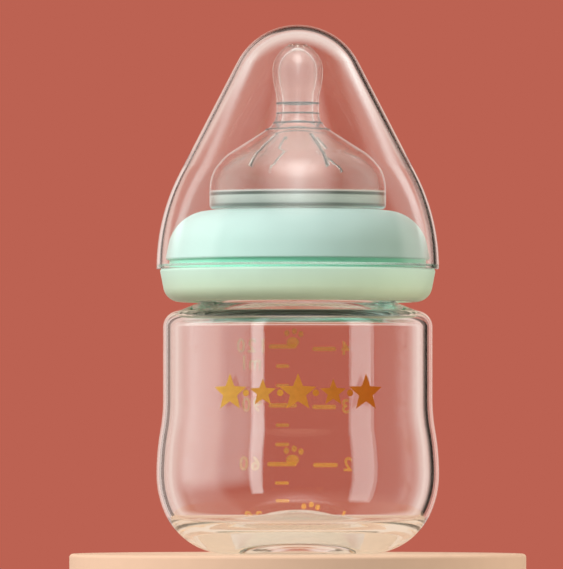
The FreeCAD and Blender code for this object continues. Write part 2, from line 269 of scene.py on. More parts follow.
@dataclass(frozen=True)
class Finish:
    """How a surface looks. Each kind of finish joins its own nodes in paint."""

    name: str

    def material(self) -> Material:
        """Make the finish a material, once.

        Returns:
            The material.
        """
        found = bpy.data.materials.get(self.name)
        if found is None:
            found = bpy.data.materials.new(self.name)
            found.use_nodes = True
            graph = ShaderGraph(found.node_tree)
            self.paint(graph, found.node_tree.nodes["Principled BSDF"])
        return found

    def paint(self, graph: ShaderGraph, shader: Node) -> None:
        """Join the finish's nodes to its shader."""
        raise NotImplementedError

    def set_values(self, graph: ShaderGraph, shader: Node, values: dict) -> None:
        """Set the shader's sockets, each to its value or output."""
        for socket, value in values.items():
            graph.feed(shader.inputs[socket], value)


@dataclass(frozen=True)
class ClearFinish(Finish):
    """Something seen through: glass, silicone or clear plastic."""

    ior: float = 1.47
    clear: tuple = WHITE
    veiled: tuple = (0.98, 0.98, 0.98, 1.0)
    smoothest: float = 0.0
    roughest: float = 0.02
    patch_scale: float = 60.0
    roughness_finer: float = 3.0
    bands: tuple = ()
    foot: float = 0.0
    top: float = 1.0
    ridge: tuple | None = None
    ridge_clearness: float = 1.0
    crest_start: float = 0.85
    clouds: tuple = ()
    sheen: float = 0.0
    sheen_roughness: float = 0.3

    def paint(self, graph: ShaderGraph, shader: Node) -> None:
        """Join faint patches of tint and roughness, painted bands of reflection and shade by height, and a painted
        tint on ridges.

        Args:
            graph: The material's graph.
            shader: The shader that the nodes lead to.
        """
        patches = graph.noise(self.patch_scale, graph.PATCH_DETAIL, 0, 1)
        colour = graph.ramp(patches, [(0.0, self.clear), (1.0, self.veiled)])
        clearness, sheen = WHITE, self.sheen
        # Painted reflection and shade: bands by height tint the teat's ring with the collar's green and cross it with
        # dark lines, and make it less clear there so the tint shows.
        if self.bands:
            height = graph.rise(self.foot, self.top)
            colour = graph.mixed(1.0, colour, graph.ramp(height, self.bands), "MULTIPLY")
            clearness = graph.ramp(height, self.clouds)
        # Painted shade and light on ridges: the teat's hoops, and its ribs where seen from inside the silicone, are
        # painted dark as lines of shade; the glass's foot recess takes the lit floor's cream.
        if self.ridge:
            marked = graph.add("ShaderNodeAttribute", attribute_name=RIDGE).outputs["Fac"]
            within = graph.add("ShaderNodeNewGeometry").outputs["Backfacing"]
            shown = graph.maths("MAXIMUM", within, graph.maths("SUBTRACT", marked, 1.0))
            ridge = graph.maths("MULTIPLY", graph.spread(marked, self.crest_start, 1.0), shown)
            colour = graph.mixed(ridge, colour, self.ridge)
            clearness = graph.mixed(ridge, clearness, (self.ridge_clearness,) * 4)
            if self.sheen:
                sheen = graph.mixed(marked, (self.sheen,) * 4, (0.0,) * 4)
        rough_scale = self.patch_scale * self.roughness_finer
        self.set_values(graph, shader, {
            "Base Color": colour,
            "Roughness": graph.noise(rough_scale, graph.ROUGH_DETAIL, self.smoothest, self.roughest),
            "IOR": self.ior,
            "Transmission Weight": clearness if isinstance(clearness, NodeSocket) else clearness[0],
            "Coat Weight": sheen,
            "Coat Roughness": self.sheen_roughness,
        })


@dataclass(frozen=True)
class MouldedPlastic(Finish):
    """Satin moulded plastic whose colour changes a little with height and from patch to patch."""

    stops: tuple = ()
    foot: float = 0.0
    top: float = 1.0
    ior: float = 1.49
    roughness: float = 0.4
    roughness_spread: float = 0.05
    depth_glow: float = 0.1
    glow_radius: tuple = (1.0, 1.0, 1.0)
    glow_scale: float = 0.002
    patch_scale: float = 120.0
    roughness_finer: float = 4.0
    patch_shade: float = 0.95
    grain_scale: float = 5000.0
    grain_depth: float = 4e-6

    def paint(self, graph: ShaderGraph, shader: Node) -> None:
        """Join the colour by height, faint patches, satin roughness and the mould's fine grain.

        Args:
            graph: The material's graph.
            shader: The shader that the nodes lead to.
        """
        colour = graph.ramp(graph.rise(self.foot, self.top), self.stops)
        rough_scale = self.patch_scale * self.roughness_finer
        smooth, rough = self.roughness - self.roughness_spread, self.roughness + self.roughness_spread
        self.set_values(graph, shader, {
            "Base Color": graph.mottled(colour, self.patch_scale, self.patch_shade),
            "Roughness": graph.noise(rough_scale, graph.ROUGH_DETAIL, smooth, rough),
            "IOR": self.ior,
            "Subsurface Weight": self.depth_glow,
            "Subsurface Radius": self.glow_radius,
            "Subsurface Scale": self.glow_scale,
            "Normal": graph.grain(self.grain_scale, self.grain_depth),
        })


@dataclass(frozen=True)
class PrintInk(Finish):
    """Gold ink that runs from one tone to another across the print and is worn thin in specks."""

    left: tuple = WHITE
    right: tuple = WHITE
    half_width: float = 20.0
    cover: float = 1.0
    metallic: float = 0.2
    smoothest: float = 0.3
    roughest: float = 0.45
    mottle_scale: float = 900.0
    mottle_shade: float = 0.9
    rough_scale: float = 1500.0
    grain_scale: float = 6000.0
    grain_depth: float = 2e-6

    def paint(self, graph: ShaderGraph, shader: Node) -> None:
        """Join the tone across the print, the ink's mottle and its grain.

        Args:
            graph: The material's graph.
            shader: The shader that the nodes lead to.
        """
        across = graph.split(graph.spot())[0]
        tone = graph.ramp(graph.spread(across, -self.half_width * MM, self.half_width * MM),
                          [(0.0, self.left), (1.0, self.right)])
        self.set_values(graph, shader, {
            "Base Color": graph.mottled(tone, self.mottle_scale, self.mottle_shade),
            "Roughness": graph.noise(self.rough_scale, graph.PATCH_DETAIL, self.smoothest, self.roughest),
            "Metallic": self.metallic,
            "Alpha": self.cover,
            "Normal": graph.grain(self.grain_scale, self.grain_depth),
        })


@dataclass(frozen=True)
class FloorPaint(Finish):
    """Pale matt paint with a pool painted under the foot, lighter than the open floor: painted light."""

    shade_start: float = 14.0
    shade_end: float = 24.0
    shaded: tuple = (0.2, 0.2, 0.2, 1.0)
    open: tuple = (0.8, 0.8, 0.8, 1.0)
    mottle_scale: float = 300.0
    mottle_shade: float = 0.97
    roughness: float = 0.6

    def paint(self, graph: ShaderGraph, shader: Node) -> None:
        """Join the painted light under the foot to the paint's faint mottle.

        Args:
            graph: The material's graph.
            shader: The shader that the nodes lead to.
        """
        out = graph.add("ShaderNodeVectorMath", {0: graph.spot()}, operation="LENGTH").outputs["Value"]
        # Painted light: a lighter pool of colour under the foot, fading out between the two radii.
        shaded = graph.spread(out, self.shade_start * MM, self.shade_end * MM)
        tone = graph.ramp(shaded, [(0.0, self.shaded), (1.0, self.open)])
        self.set_values(graph, shader, {
            "Base Color": graph.mottled(tone, self.mottle_scale, self.mottle_shade),
            "Roughness": self.roughness,
        })


# The bottle glass's foot recess is made milky and painted the cream of the lit floor seen through the base: painted
# light.
GLASS = ClearFinish("bottle glass", veiled=(0.985, 0.992, 0.985, 1.0), roughest=0.015,
                    ridge=(0.85, 0.72, 0.58, 1.0), ridge_clearness=0.1)
SILICONE = ClearFinish("teat silicone", ior=1.41, clear=(1.0, 0.99, 0.98, 1.0), veiled=(0.96, 0.95, 0.94, 1.0),
                       roughest=0.05, patch_scale=150.0, foot=77.4, top=84.0,
                       # ridge: hoops and ribs painted dark, as lines of shade.
                       ridge=(0.05, 0.062, 0.058, 1.0), ridge_clearness=0.15, sheen=1.0, bands=(
                           # Painted reflection and shade: the collar's green tint on the ring, crossed by two painted
                           # dark lines.
                           (0.0, (0.26, 0.37, 0.34, 1)), (0.13, (0.62, 0.72, 0.68, 1)), (0.18, (0.2, 0.26, 0.24, 1)),
                           (0.25, (0.2, 0.26, 0.24, 1)), (0.31, (0.52, 0.61, 0.57, 1)), (0.55, (0.7, 0.8, 0.75, 1)),
                           (0.59, (0.16, 0.21, 0.19, 1)), (0.66, (0.16, 0.21, 0.19, 1)), (0.7, (0.85, 0.92, 0.88, 1)),
                           (0.76, WHITE)),
                       clouds=((0.0, (0.5, 0.5, 0.5, 1)), (0.69, (0.5, 0.5, 0.5, 1)), (0.76, WHITE)))
CLEAR_PLASTIC = ClearFinish("cap plastic", ior=1.49, veiled=(0.985, 0.985, 0.985, 1.0), roughest=0.03)
# The groove band at the collar's foot is painted brighter and more saturated than the rest: painted light bounced
# within the groove.
MINT = MouldedPlastic("collar plastic", foot=65.0, top=79.0, roughness=0.42, depth_glow=0.15, stops=(
    (0.0, shade(165, 255, 222)), (0.11, shade(165, 255, 222)), (0.14, shade(201, 235, 226)),
    (1.0, shade(211, 241, 234))))
# The band turns yellower and darker towards its foot: painted warm light bounced up from the floor.
PALE_GREEN = MouldedPlastic("band plastic", foot=57.0, top=66.0, depth_glow=0.15, stops=(
    (0.0, shade(198, 208, 172)), (0.5, shade(200, 224, 200)), (1.0, shade(204, 234, 222))))
# The front print runs from yellow to orange across; its right end is also made lighter to offset the weaker light
# there, painted light.
FRONT_INK = PrintInk("front ink", left=shade(224, 172, 80), right=shade(232, 119, 18), half_width=18.0)
SCALE_INK = PrintInk("scale ink", left=shade(255, 186, 66), right=shade(252, 178, 60), cover=0.35, metallic=0.0)


@dataclass
class Thread:
    """A helical ridge on a turned wall, in millimetres."""

    foot: float = 0.0
    pitch: float = 4.5
    turns: float = 1.5
    depth: float = 0.0
    root_width: float = 1.9
    crest_width: float = 0.9
    row_spacing: float = 0.25


@dataclass
class Ribs:
    """Equal ribs along a turned wall, spread about the axis."""

    count: int = 1
    first_angle: float = 0.0
    width: float = 0.7
    height: float = 0.0
    crowding: float = 1.0


class Outline:
    """A piece's outline in the half plane of radius and height, drawn as closely spaced points."""

    ARC_STRETCHES = 2
    SWELL_STRETCHES = 4

    def __init__(self, radius: float, height: float, spacing: float = 1.4, step: float = 4.0,
                 mark: Mark = Mark.PLAIN) -> None:
        """Put the pen down.

        Args:
            radius: Where the outline starts, in millimetres from the axis.
            height: Where the outline starts, in millimetres above the foot.
            spacing: The widest gap between points on a straight stretch.
            step: The widest turn between points on an arc, in degrees.
            mark: What the first stretch carries.
        """
        self.spacing = spacing
        self.step = step
        self.mark = mark
        self.points: list[Vector] = [Vector((radius, height))]
        self.marks: list[Mark] = [mark]

    @property
    def here(self) -> Vector:
        """Where the pen is."""
        return self.points[-1]

    def put(self, place: Vector) -> None:
        """Add a point, unless the pen is there already.

        Args:
            place: The point.
        """
        if (place - self.here).length > SAME_PLACE:
            self.points.append(place)
            self.marks.append(self.mark)

    def line(self, radius: float, height: float, spacing: float | None = None) -> None:
        """Draw a straight edge, with extra points close to its ends.

        Args:
            radius: Where the edge ends, from the axis.
            height: Where the edge ends, above the foot.
            spacing: The widest gap between points, where it isn't the outline's own.
        """
        begin, end = self.here.copy(), Vector((radius, height))
        length = (end - begin).length
        if length < SAME_PLACE:
            return
        count = max(1, math.ceil(length / (spacing or self.spacing)))
        shares = {number / count for number in range(1, count + 1)}
        if length > LONG_EDGE:
            shares |= {EDGE_SUPPORT / length, 1 - EDGE_SUPPORT / length}
        for share in sorted(shares):
            self.put(begin.lerp(end, share))

    def lines(self, *corners: tuple[float, float]) -> None:
        """Draw straight edges from corner to corner."""
        for corner in corners:
            self.line(*corner)

    def stretches(self, turn: float, radius: float, fewest: int) -> int:
        """How many straight stretches stand for an arc that turns by so many degrees."""
        return max(fewest, math.ceil(turn / self.step), math.ceil(math.radians(turn) * radius / self.spacing))

    def arc(self, centre: tuple[float, float], radius: float, start: float, end: float) -> None:
        """Draw an arc about a centre, after a line to where it starts.

        Args:
            centre: The arc's centre.
            radius: The arc's radius.
            start: The angle where it starts, from outward, in degrees.
            end: The angle where it ends.
        """
        self.line(*around(centre, radius, start))
        count = self.stretches(abs(end - start), radius, self.ARC_STRETCHES)
        for number in range(1, count + 1):
            self.put(Vector(around(centre, radius, start + (end - start) * number / count)))

    def bend(self, corner: tuple[float, float], after: tuple[float, float], radius: float) -> None:
        """Go towards a corner and round it with a tangent arc towards the point after it.

        Args:
            corner: The corner without its rounding.
            after: A point on the next stretch.
            radius: The rounding's radius.
        """
        sharp = Vector(corner)
        back = (self.here - sharp).normalized()
        ahead = (Vector(after) - sharp).normalized()
        half = back.angle(ahead) / 2
        centre = sharp + (back + ahead).normalized() * (radius / math.sin(half))
        first = sharp + back * (radius / math.tan(half)) - centre
        last = sharp + ahead * (radius / math.tan(half)) - centre
        start = math.degrees(math.atan2(first.y, first.x))
        turn = (math.degrees(math.atan2(last.y, last.x)) - start + 180) % 360 - 180
        self.arc(tuple(centre), radius, start, start + turn)

    def swell(self, end: tuple[float, float], share: float, upright: bool = True) -> None:
        """Draw an S of two tangent arcs to the end point.

        Args:
            end: Where the S ends.
            share: The first arc's part of the two radii together.
            upright: Whether the S is upright at both ends, or else level.
        """
        begin, last = self.here.copy(), Vector(end)
        across, along = last - begin
        if not upright:
            across, along = along, across
        turn = 2 * math.degrees(math.atan2(abs(across), abs(along)))
        total = abs(along) / sine(turn)

        def stop(corner: Vector, radius: float, angle: float) -> Vector:
            """Find a point on the arc that leaves one end of the S.

            Args:
                corner: The end.
                radius: The arc's radius, negative where the arc runs back from the S's end.
                angle: How far the arc has turned.

            Returns:
                The point.
            """
            sideways = math.copysign(radius * (1 - cosine(angle)), across * radius)
            onward = math.copysign(radius * sine(angle), along * radius)
            return corner + (Vector((sideways, onward)) if upright else Vector((onward, sideways)))

        count = self.stretches(turn, total, self.SWELL_STRETCHES)
        for number in range(1, count + 1):
            self.put(stop(begin, total * share, turn * number / count))
        for number in range(count - 1, -1, -1):
            self.put(stop(last, -total * (1 - share), turn * number / count))

    def close(self) -> None:
        """Draw a straight edge back to the start."""
        self.line(*self.points[0])

    def facings(self) -> list[Vector]:
        """Work out the directions out of the solid.

        Returns:
            A direction for each point.
        """
        area = 0.0
        for number, point in enumerate(self.points):
            area += self.points[number - 1].cross(point)
        turned = math.copysign(1, area)
        found = []
        for number in range(len(self.points)):
            before = self.points[max(number - 1, 0)]
            after = self.points[min(number + 1, len(self.points) - 1)]
            along = (after - before).normalized()
            found.append(Vector((along.y, -along.x)) * turned)
        return found

    def mesh(self, name: str) -> Mesh:
        """Make the outline a row of points, with what each carries as attributes.

        Args:
            name: The mesh's name.

        Returns:
            The mesh, in metres.
        """
        made = bpy.data.meshes.new(name)
        rows = [(point.x * MM, 0, point.y * MM) for point in self.points]
        made.from_pydata(rows, [(number, number + 1) for number in range(len(rows) - 1)], [])
        facing = made.attributes.new(FACING, "FLOAT_VECTOR", "POINT")
        facing.data.foreach_set("vector", [part for out in self.facings() for part in (out.x, 0, out.y)])
        for mark in CARRIED:
            layer = made.attributes.new(mark.value, "FLOAT", "POINT")
            layer.data.foreach_set("value", [float(carried is mark) for carried in self.marks])
        return made


class GeometryTool(NodeGraph):
    """A geometry node tree with named inputs, put on an object as a modifier."""

    NAME = "Tool"
    INPUTS: dict[str, type] = {}
    KINDS = {float: "NodeSocketFloat", int: "NodeSocketInt", Vector: "NodeSocketVector",
             Object: "NodeSocketObject", Material: "NodeSocketMaterial"}

    def __init__(self) -> None:
        """Start the tree, with its inputs besides the geometry."""
        super().__init__(bpy.data.node_groups.new(self.NAME, "GeometryNodeTree"))
        sockets = self.tree.interface
        sockets.new_socket("Geometry", in_out="OUTPUT", socket_type="NodeSocketGeometry")
        sockets.new_socket("Geometry", in_out="INPUT", socket_type="NodeSocketGeometry")
        self.identifiers = {}
        for label, kind in {**self.INPUTS, "Finish": Material}.items():
            made = sockets.new_socket(label, in_out="INPUT", socket_type=self.KINDS[kind])
            self.identifiers[label] = made.identifier
        self.given = self.add("NodeGroupInput").outputs
        self.build()

    def build(self) -> None:
        """Join the tree's nodes."""
        raise NotImplementedError

    def whole(self, operation: str, first: object, second: object) -> NodeSocket:
        """A sum of two whole numbers."""
        return self.add("FunctionNodeIntegerMath", {0: first, 1: second}, operation=operation).outputs[0]

    def outward(self, length: object, angle: NodeSocket, height: object = 0.0) -> NodeSocket:
        """The vector that points away from the axis at an angle, so long and so high."""
        across, along = (self.maths("MULTIPLY", length, self.maths(part, angle)) for part in ("COSINE", "SINE"))
        return self.add("ShaderNodeCombineXYZ", {"X": across, "Y": along, "Z": height}).outputs["Vector"]

    def clamped(self, value: object) -> NodeSocket:
        """A value kept between 0 and 1."""
        return self.add("ShaderNodeClamp", {"Value": value}).outputs["Result"]

    def end(self, geometry: NodeSocket) -> None:
        """Realise the geometry, give it its finish and hand it on.

        Args:
            geometry: What the tree has made.
        """
        real = self.add("GeometryNodeRealizeInstances", {"Geometry": geometry}).outputs["Geometry"]
        dressed = self.add("GeometryNodeSetMaterial", {"Geometry": real, "Material": self.given["Finish"]})
        self.add("NodeGroupOutput", {"Geometry": dressed.outputs["Geometry"]})

    def fit(self, piece: Object, finish: Finish, **values: object) -> None:
        """Put the tree on an object.

        Args:
            piece: The object that gets the modifier.
            finish: The finish that the tree sets.
            **values: The tree's inputs, with an underscore for each space of their names.
        """
        modifier = piece.modifiers.new(self.tree.name, "NODES")
        modifier.node_group = self.tree
        modifier[self.identifiers["Finish"]] = finish.material()
        for label, value in values.items():
            modifier[self.identifiers[label.replace("_", " ")]] = value


class TurnedForm(GeometryTool):
    """Turns an outline about the axis, with a thread and ribs where the outline is marked for them.

    The inputs are in metres and radians.
    """

    NAME = "Turned form"
    INPUTS = {
        "Columns": int, "Thread foot": float, "Thread pitch": float, "Thread turns": float,
        "Thread depth": float, "Root width": float, "Crest width": float, "Rib count": int,
        "First rib": float, "Rib width": float, "Rib height": float, "Crowding": float,
    }
    END_FADE = 0.02
    RIB_EDGE = 0.1

    def build(self) -> None:
        """Lay the outline's points out as a grid of rows and columns, and roll the grid up."""
        given = self.given
        outline = given["Geometry"]
        rows = self.add("GeometryNodeAttributeDomainSize", {"Geometry": outline}).outputs["Point Count"]
        across = self.whole("ADD", given["Columns"], 1)
        grid = self.add("GeometryNodeMeshGrid", {"Vertices X": across, "Vertices Y": rows})
        index = self.add("GeometryNodeInputIndex").outputs["Index"]
        column = self.whole("DIVIDE_FLOOR", index, rows)
        row = self.whole("FLOORED_MODULO", index, rows)

        place = self.add("GeometryNodeInputPosition").outputs["Position"]
        radius, _, height = self.split(self.sampled(outline, place, row, "FLOAT_VECTOR"))
        out, _, up = self.split(self.sampled(outline, self.named(FACING, "FLOAT_VECTOR"), row, "FLOAT_VECTOR"))
        threaded, ribbed, painted_tint = (self.sampled(outline, self.named(mark.value, "FLOAT"), row, "FLOAT")
                                    for mark in CARRIED)

        angle, aside = self.column_angle(column)
        ridge = self.maths("MULTIPLY", threaded, self.thread_ridge(angle, height))
        ribbed = self.maths("MULTIPLY", ribbed, self.rib_share(self.maths("MULTIPLY", aside, radius)))
        push = self.maths("MULTIPLY_ADD", ribbed, given["Rib height"], ridge)
        final_radius = self.maths("MULTIPLY_ADD", out, push, radius)
        target = self.outward(final_radius, angle, self.maths("MULTIPLY_ADD", up, push, height))
        # The ridge attribute carries the ribs, and at a higher level the painted tint, which shows from both sides.
        ridged = self.add("GeometryNodeStoreNamedAttribute", {
            "Geometry": grid.outputs["Mesh"], "Name": RIDGE,
            "Value": self.maths("MULTIPLY_ADD", painted_tint, PAINTED_TINT_LEVEL, ribbed)})
        rolled = self.add("GeometryNodeSetPosition", {"Geometry": ridged.outputs["Geometry"], "Position": target})
        closed = self.add("GeometryNodeMergeByDistance", {"Geometry": rolled.outputs["Geometry"],
                                                          "Distance": SAME_PLACE})
        self.end(closed.outputs["Geometry"])

    def named(self, name: str, kind: str) -> NodeSocket:
        """An attribute of the outline's points."""
        return self.add("GeometryNodeInputNamedAttribute", {"Name": name}, data_type=kind).outputs["Attribute"]

    def sampled(self, outline: NodeSocket, value: NodeSocket, row: NodeSocket, kind: str) -> NodeSocket:
        """Look up a value at the outline's point of a row.

        Args:
            outline: The outline.
            value: The value as a field over its points.
            row: The row's number.
            kind: The value's type.

        Returns:
            The value's output.
        """
        node = self.add("GeometryNodeSampleIndex", {"Geometry": outline, "Index": row}, data_type=kind)
        self.feed(node.inputs["Value"], value)
        return node.outputs["Value"]

    def column_angle(self, column: NodeSocket) -> tuple[NodeSocket, NodeSocket]:
        """Where a column stands about the axis, with columns drawn together at each rib.

        Args:
            column: The column's number.

        Returns:
            The column's angle, and its angle from the nearest rib.
        """
        count = self.given["Rib count"]
        place = self.maths("DIVIDE", self.maths("MULTIPLY", column, count), self.given["Columns"])
        sector = self.maths("FLOOR", place)
        aside = self.maths("MULTIPLY_ADD", self.maths("SUBTRACT", place, sector), 2.0, -1.0)
        crowding = self.given["Crowding"]
        near = self.maths("MULTIPLY", aside, crowding)
        far = self.maths("MULTIPLY", self.maths("POWER", aside, 3.0), self.maths("SUBTRACT", 1.0, crowding))
        half = self.maths("MULTIPLY", self.maths("ADD", near, far), 0.5)
        width = self.maths("DIVIDE", 2 * math.pi, count)
        turned = self.maths("MULTIPLY", self.maths("ADD", sector, half), width)
        return self.maths("ADD", turned, self.given["First rib"]), self.maths("MULTIPLY", half, width)

    def thread_ridge(self, angle: NodeSocket, height: NodeSocket) -> NodeSocket:
        """Work out how far the thread stands out of the wall.

        Args:
            angle: The angle about the axis.
            height: The height above the foot.

        Returns:
            The thread's height there, in metres.
        """
        given = self.given
        share = self.maths("FRACT", self.maths("DIVIDE", angle, 2 * math.pi))
        middle = self.maths("MULTIPLY_ADD", given["Thread pitch"], share, given["Thread foot"])
        climb = self.maths("SUBTRACT", height, middle)
        nearest = self.maths("ROUND", self.maths("DIVIDE", climb, given["Thread pitch"]))
        last = self.maths("FLOOR", self.maths("SUBTRACT", given["Thread turns"], share))
        turn = self.maths("MINIMUM", self.maths("MAXIMUM", nearest, 0.0), last)
        middle_climb = self.maths("MULTIPLY", turn, given["Thread pitch"])
        off = self.maths("ABSOLUTE", self.maths("SUBTRACT", climb, middle_climb))
        flank = self.maths("SUBTRACT", given["Root width"], given["Crest width"])
        inside = self.maths("MULTIPLY_ADD", off, -2.0, given["Root width"])
        run = self.maths("ADD", share, turn)
        left = self.maths("MINIMUM", run, self.maths("SUBTRACT", given["Thread turns"], run))
        fade = self.clamped(self.maths("DIVIDE", left, self.END_FADE))
        ridge = self.maths("MULTIPLY", self.clamped(self.maths("DIVIDE", inside, flank)), fade)
        return self.maths("MULTIPLY", ridge, given["Thread depth"])

    def rib_share(self, aside: NodeSocket) -> NodeSocket:
        """Work out how much of a rib's height the wall has.

        Args:
            aside: The distance from the rib's middle.

        Returns:
            The share, from 0 to 1.
        """
        inside = self.maths("MULTIPLY_ADD", self.given["Rib width"], 0.5,
                            self.maths("MULTIPLY", self.maths("ABSOLUTE", aside), -1.0))
        return self.clamped(self.maths("MULTIPLY_ADD", inside, 1 / (self.RIB_EDGE * MM), 0.5))

    def turn(self, name: str, outline: Outline, finish: Finish, columns: int = 240,
             thread: Thread | None = None, ribs: Ribs | None = None) -> Object:
        """Turn an outline into a piece.

        Args:
            name: The piece's name.
            outline: The outline to turn.
            finish: The piece's finish.
            columns: How many columns there are round the axis.
            thread: The thread on the outline's marked stretch.
            ribs: The ribs on the outline's marked stretch.

        Returns:
            The piece, a plain mesh.
        """
        thread, ribs = thread or Thread(), ribs or Ribs()
        piece = new_object(name, outline.mesh(name))
        self.fit(piece, finish, Columns=columns, Thread_foot=thread.foot * MM, Thread_pitch=thread.pitch * MM,
                 Thread_turns=thread.turns, Thread_depth=thread.depth * MM, Root_width=thread.root_width * MM,
                 Crest_width=thread.crest_width * MM, Rib_count=ribs.count,
                 First_rib=math.radians(ribs.first_angle), Rib_width=ribs.width * MM,
                 Rib_height=ribs.height * MM, Crowding=ribs.crowding)
        return bake(piece)


class PrintRow(GeometryTool):
    """Repeats a flat mark along a row, with every so many at full size and the others smaller."""

    NAME = "Print row"
    INPUTS = {"Count": int, "Step": Vector, "Full every": int, "Other scale": Vector}

    def build(self) -> None:
        """Stand copies of the mark on the points of a line."""
        given = self.given
        row = self.add("GeometryNodeMeshLine", {"Count": given["Count"], "Offset": given["Step"]})
        index = self.add("GeometryNodeInputIndex").outputs["Index"]
        left = self.whole("FLOORED_MODULO", index, given["Full every"])
        full = self.add("FunctionNodeCompare", {"A": self.maths("ABSOLUTE", left), "B": 0.5},
                        operation="LESS_THAN").outputs["Result"]
        scale = self.add("GeometryNodeSwitch", {"Switch": full}, input_type="VECTOR")
        self.feed(scale.inputs["False"], given["Other scale"])
        self.feed(scale.inputs["True"], (1.0, 1.0, 1.0))
        marks = self.add("GeometryNodeInstanceOnPoints", {
            "Points": row.outputs["Mesh"], "Instance": given["Geometry"], "Scale": scale.outputs["Output"]})
        self.end(marks.outputs["Instances"])


class WrappedPrint(GeometryTool):
    """Wraps flat print round the bottle: x is the way round it, y the height and z the ink's thickness."""

    NAME = "Wrapped print"
    INPUTS = {"Glass": Object, "Middle angle": float, "Wrap radius": float, "Lift": float}
    REACH = 60.0

    def build(self) -> None:
        """Send each point straight in towards the axis until it meets the glass."""
        given = self.given
        place = self.add("GeometryNodeInputPosition").outputs["Position"]
        across, height, depth = self.split(place)
        angle = self.maths("ADD", self.maths("DIVIDE", across, given["Wrap radius"]), given["Middle angle"])
        reach = self.REACH * MM
        glass = self.add("GeometryNodeObjectInfo", {"Object": given["Glass"]}).outputs["Geometry"]
        ray = self.add("GeometryNodeRaycast", {
            "Target Geometry": glass, "Source Position": self.outward(reach, angle, height),
            "Ray Direction": self.outward(-1.0, angle), "Ray Length": reach})
        lift = self.maths("ADD", depth, given["Lift"])
        off = self.add("ShaderNodeVectorMath", {0: ray.outputs["Hit Normal"]}, operation="SCALE")
        self.feed(off.inputs["Scale"], lift)
        target = self.add("ShaderNodeVectorMath", {0: ray.outputs["Hit Position"], 1: off.outputs["Vector"]},
                          operation="ADD").outputs["Vector"]
        moved = self.add("GeometryNodeSetPosition", {"Geometry": given["Geometry"], "Position": target})
        self.end(moved.outputs["Geometry"])


def new_object(name: str, mesh: Mesh) -> Object:
    """Put a mesh into the scene as an object at the origin.

    Args:
        name: The object's name.
        mesh: Its mesh.

    Returns:
        The object.
    """
    made = bpy.data.objects.new(name, mesh)
    bpy.context.scene.collection.objects.link(made)
    return made


def bake(piece: Object, sharp_angle: float = 38.0) -> Object:
    """Turn an object and its modifiers into a plain, closed mesh with outward normals.

    Args:
        piece: The object.
        sharp_angle: Edges that turn by more than this stay sharp, in degrees.

    Returns:
        The same object with its new mesh.
    """
    bpy.context.view_layer.update()
    depsgraph = bpy.context.evaluated_depsgraph_get()
    mesh = bpy.data.meshes.new_from_object(piece.evaluated_get(depsgraph), depsgraph=depsgraph)
    piece.modifiers.clear()
    piece.data = mesh
    mesh.name = piece.name
    form = bmesh.new()
    form.from_mesh(mesh)
    bmesh.ops.remove_doubles(form, verts=form.verts, dist=DOUBLED)
    loose = [edge for edge in form.edges if not edge.link_faces]
    bmesh.ops.delete(form, geom=loose, context="EDGES")
    bmesh.ops.recalc_face_normals(form, faces=form.faces)
    form.to_mesh(mesh)
    form.free()
    mesh.shade_smooth()
    mesh.set_sharp_from_angle(angle=math.radians(sharp_angle))
    return piece


def place(piece: Object, body: Body, slot: Slot, finish: Finish, node: str | None = None) -> None:
    """Let a finished piece ride its body. A clear piece lets the studio's light through unshaded.

    Args:
        piece: The finished piece.
        body: The body that it moves with.
        slot: The record's slot that its finish belongs to; not used.
        finish: Its finish.
        node: The model's node that it stands for.
    """
    piece.visible_shadow = not isinstance(finish, ClearFinish)
    piece.visible_glossy = not isinstance(finish, PrintInk)
    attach(piece, body.value)
    if node:
        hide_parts(node)
    log.info("%s rides %s: %d faces", piece.name, body.value, len(piece.data.polygons))


class TurnedPiece:
    """A piece that is turned from one outline and stands for one node of the model."""

    name = node = ""
    body: Body
    slot: Slot
    finish: Finish
    thread: Thread | None = None
    ribs: Ribs | None = None

    def outline(self) -> Outline:
        """The outline that is turned."""
        raise NotImplementedError

    def build(self, lathe: TurnedForm) -> None:
        """Turn the piece and let it stand for its node."""
        self.piece = lathe.turn(self.name, self.outline(), self.finish, thread=self.thread, ribs=self.ribs)
        place(self.piece, self.body, self.slot, self.finish, self.node)


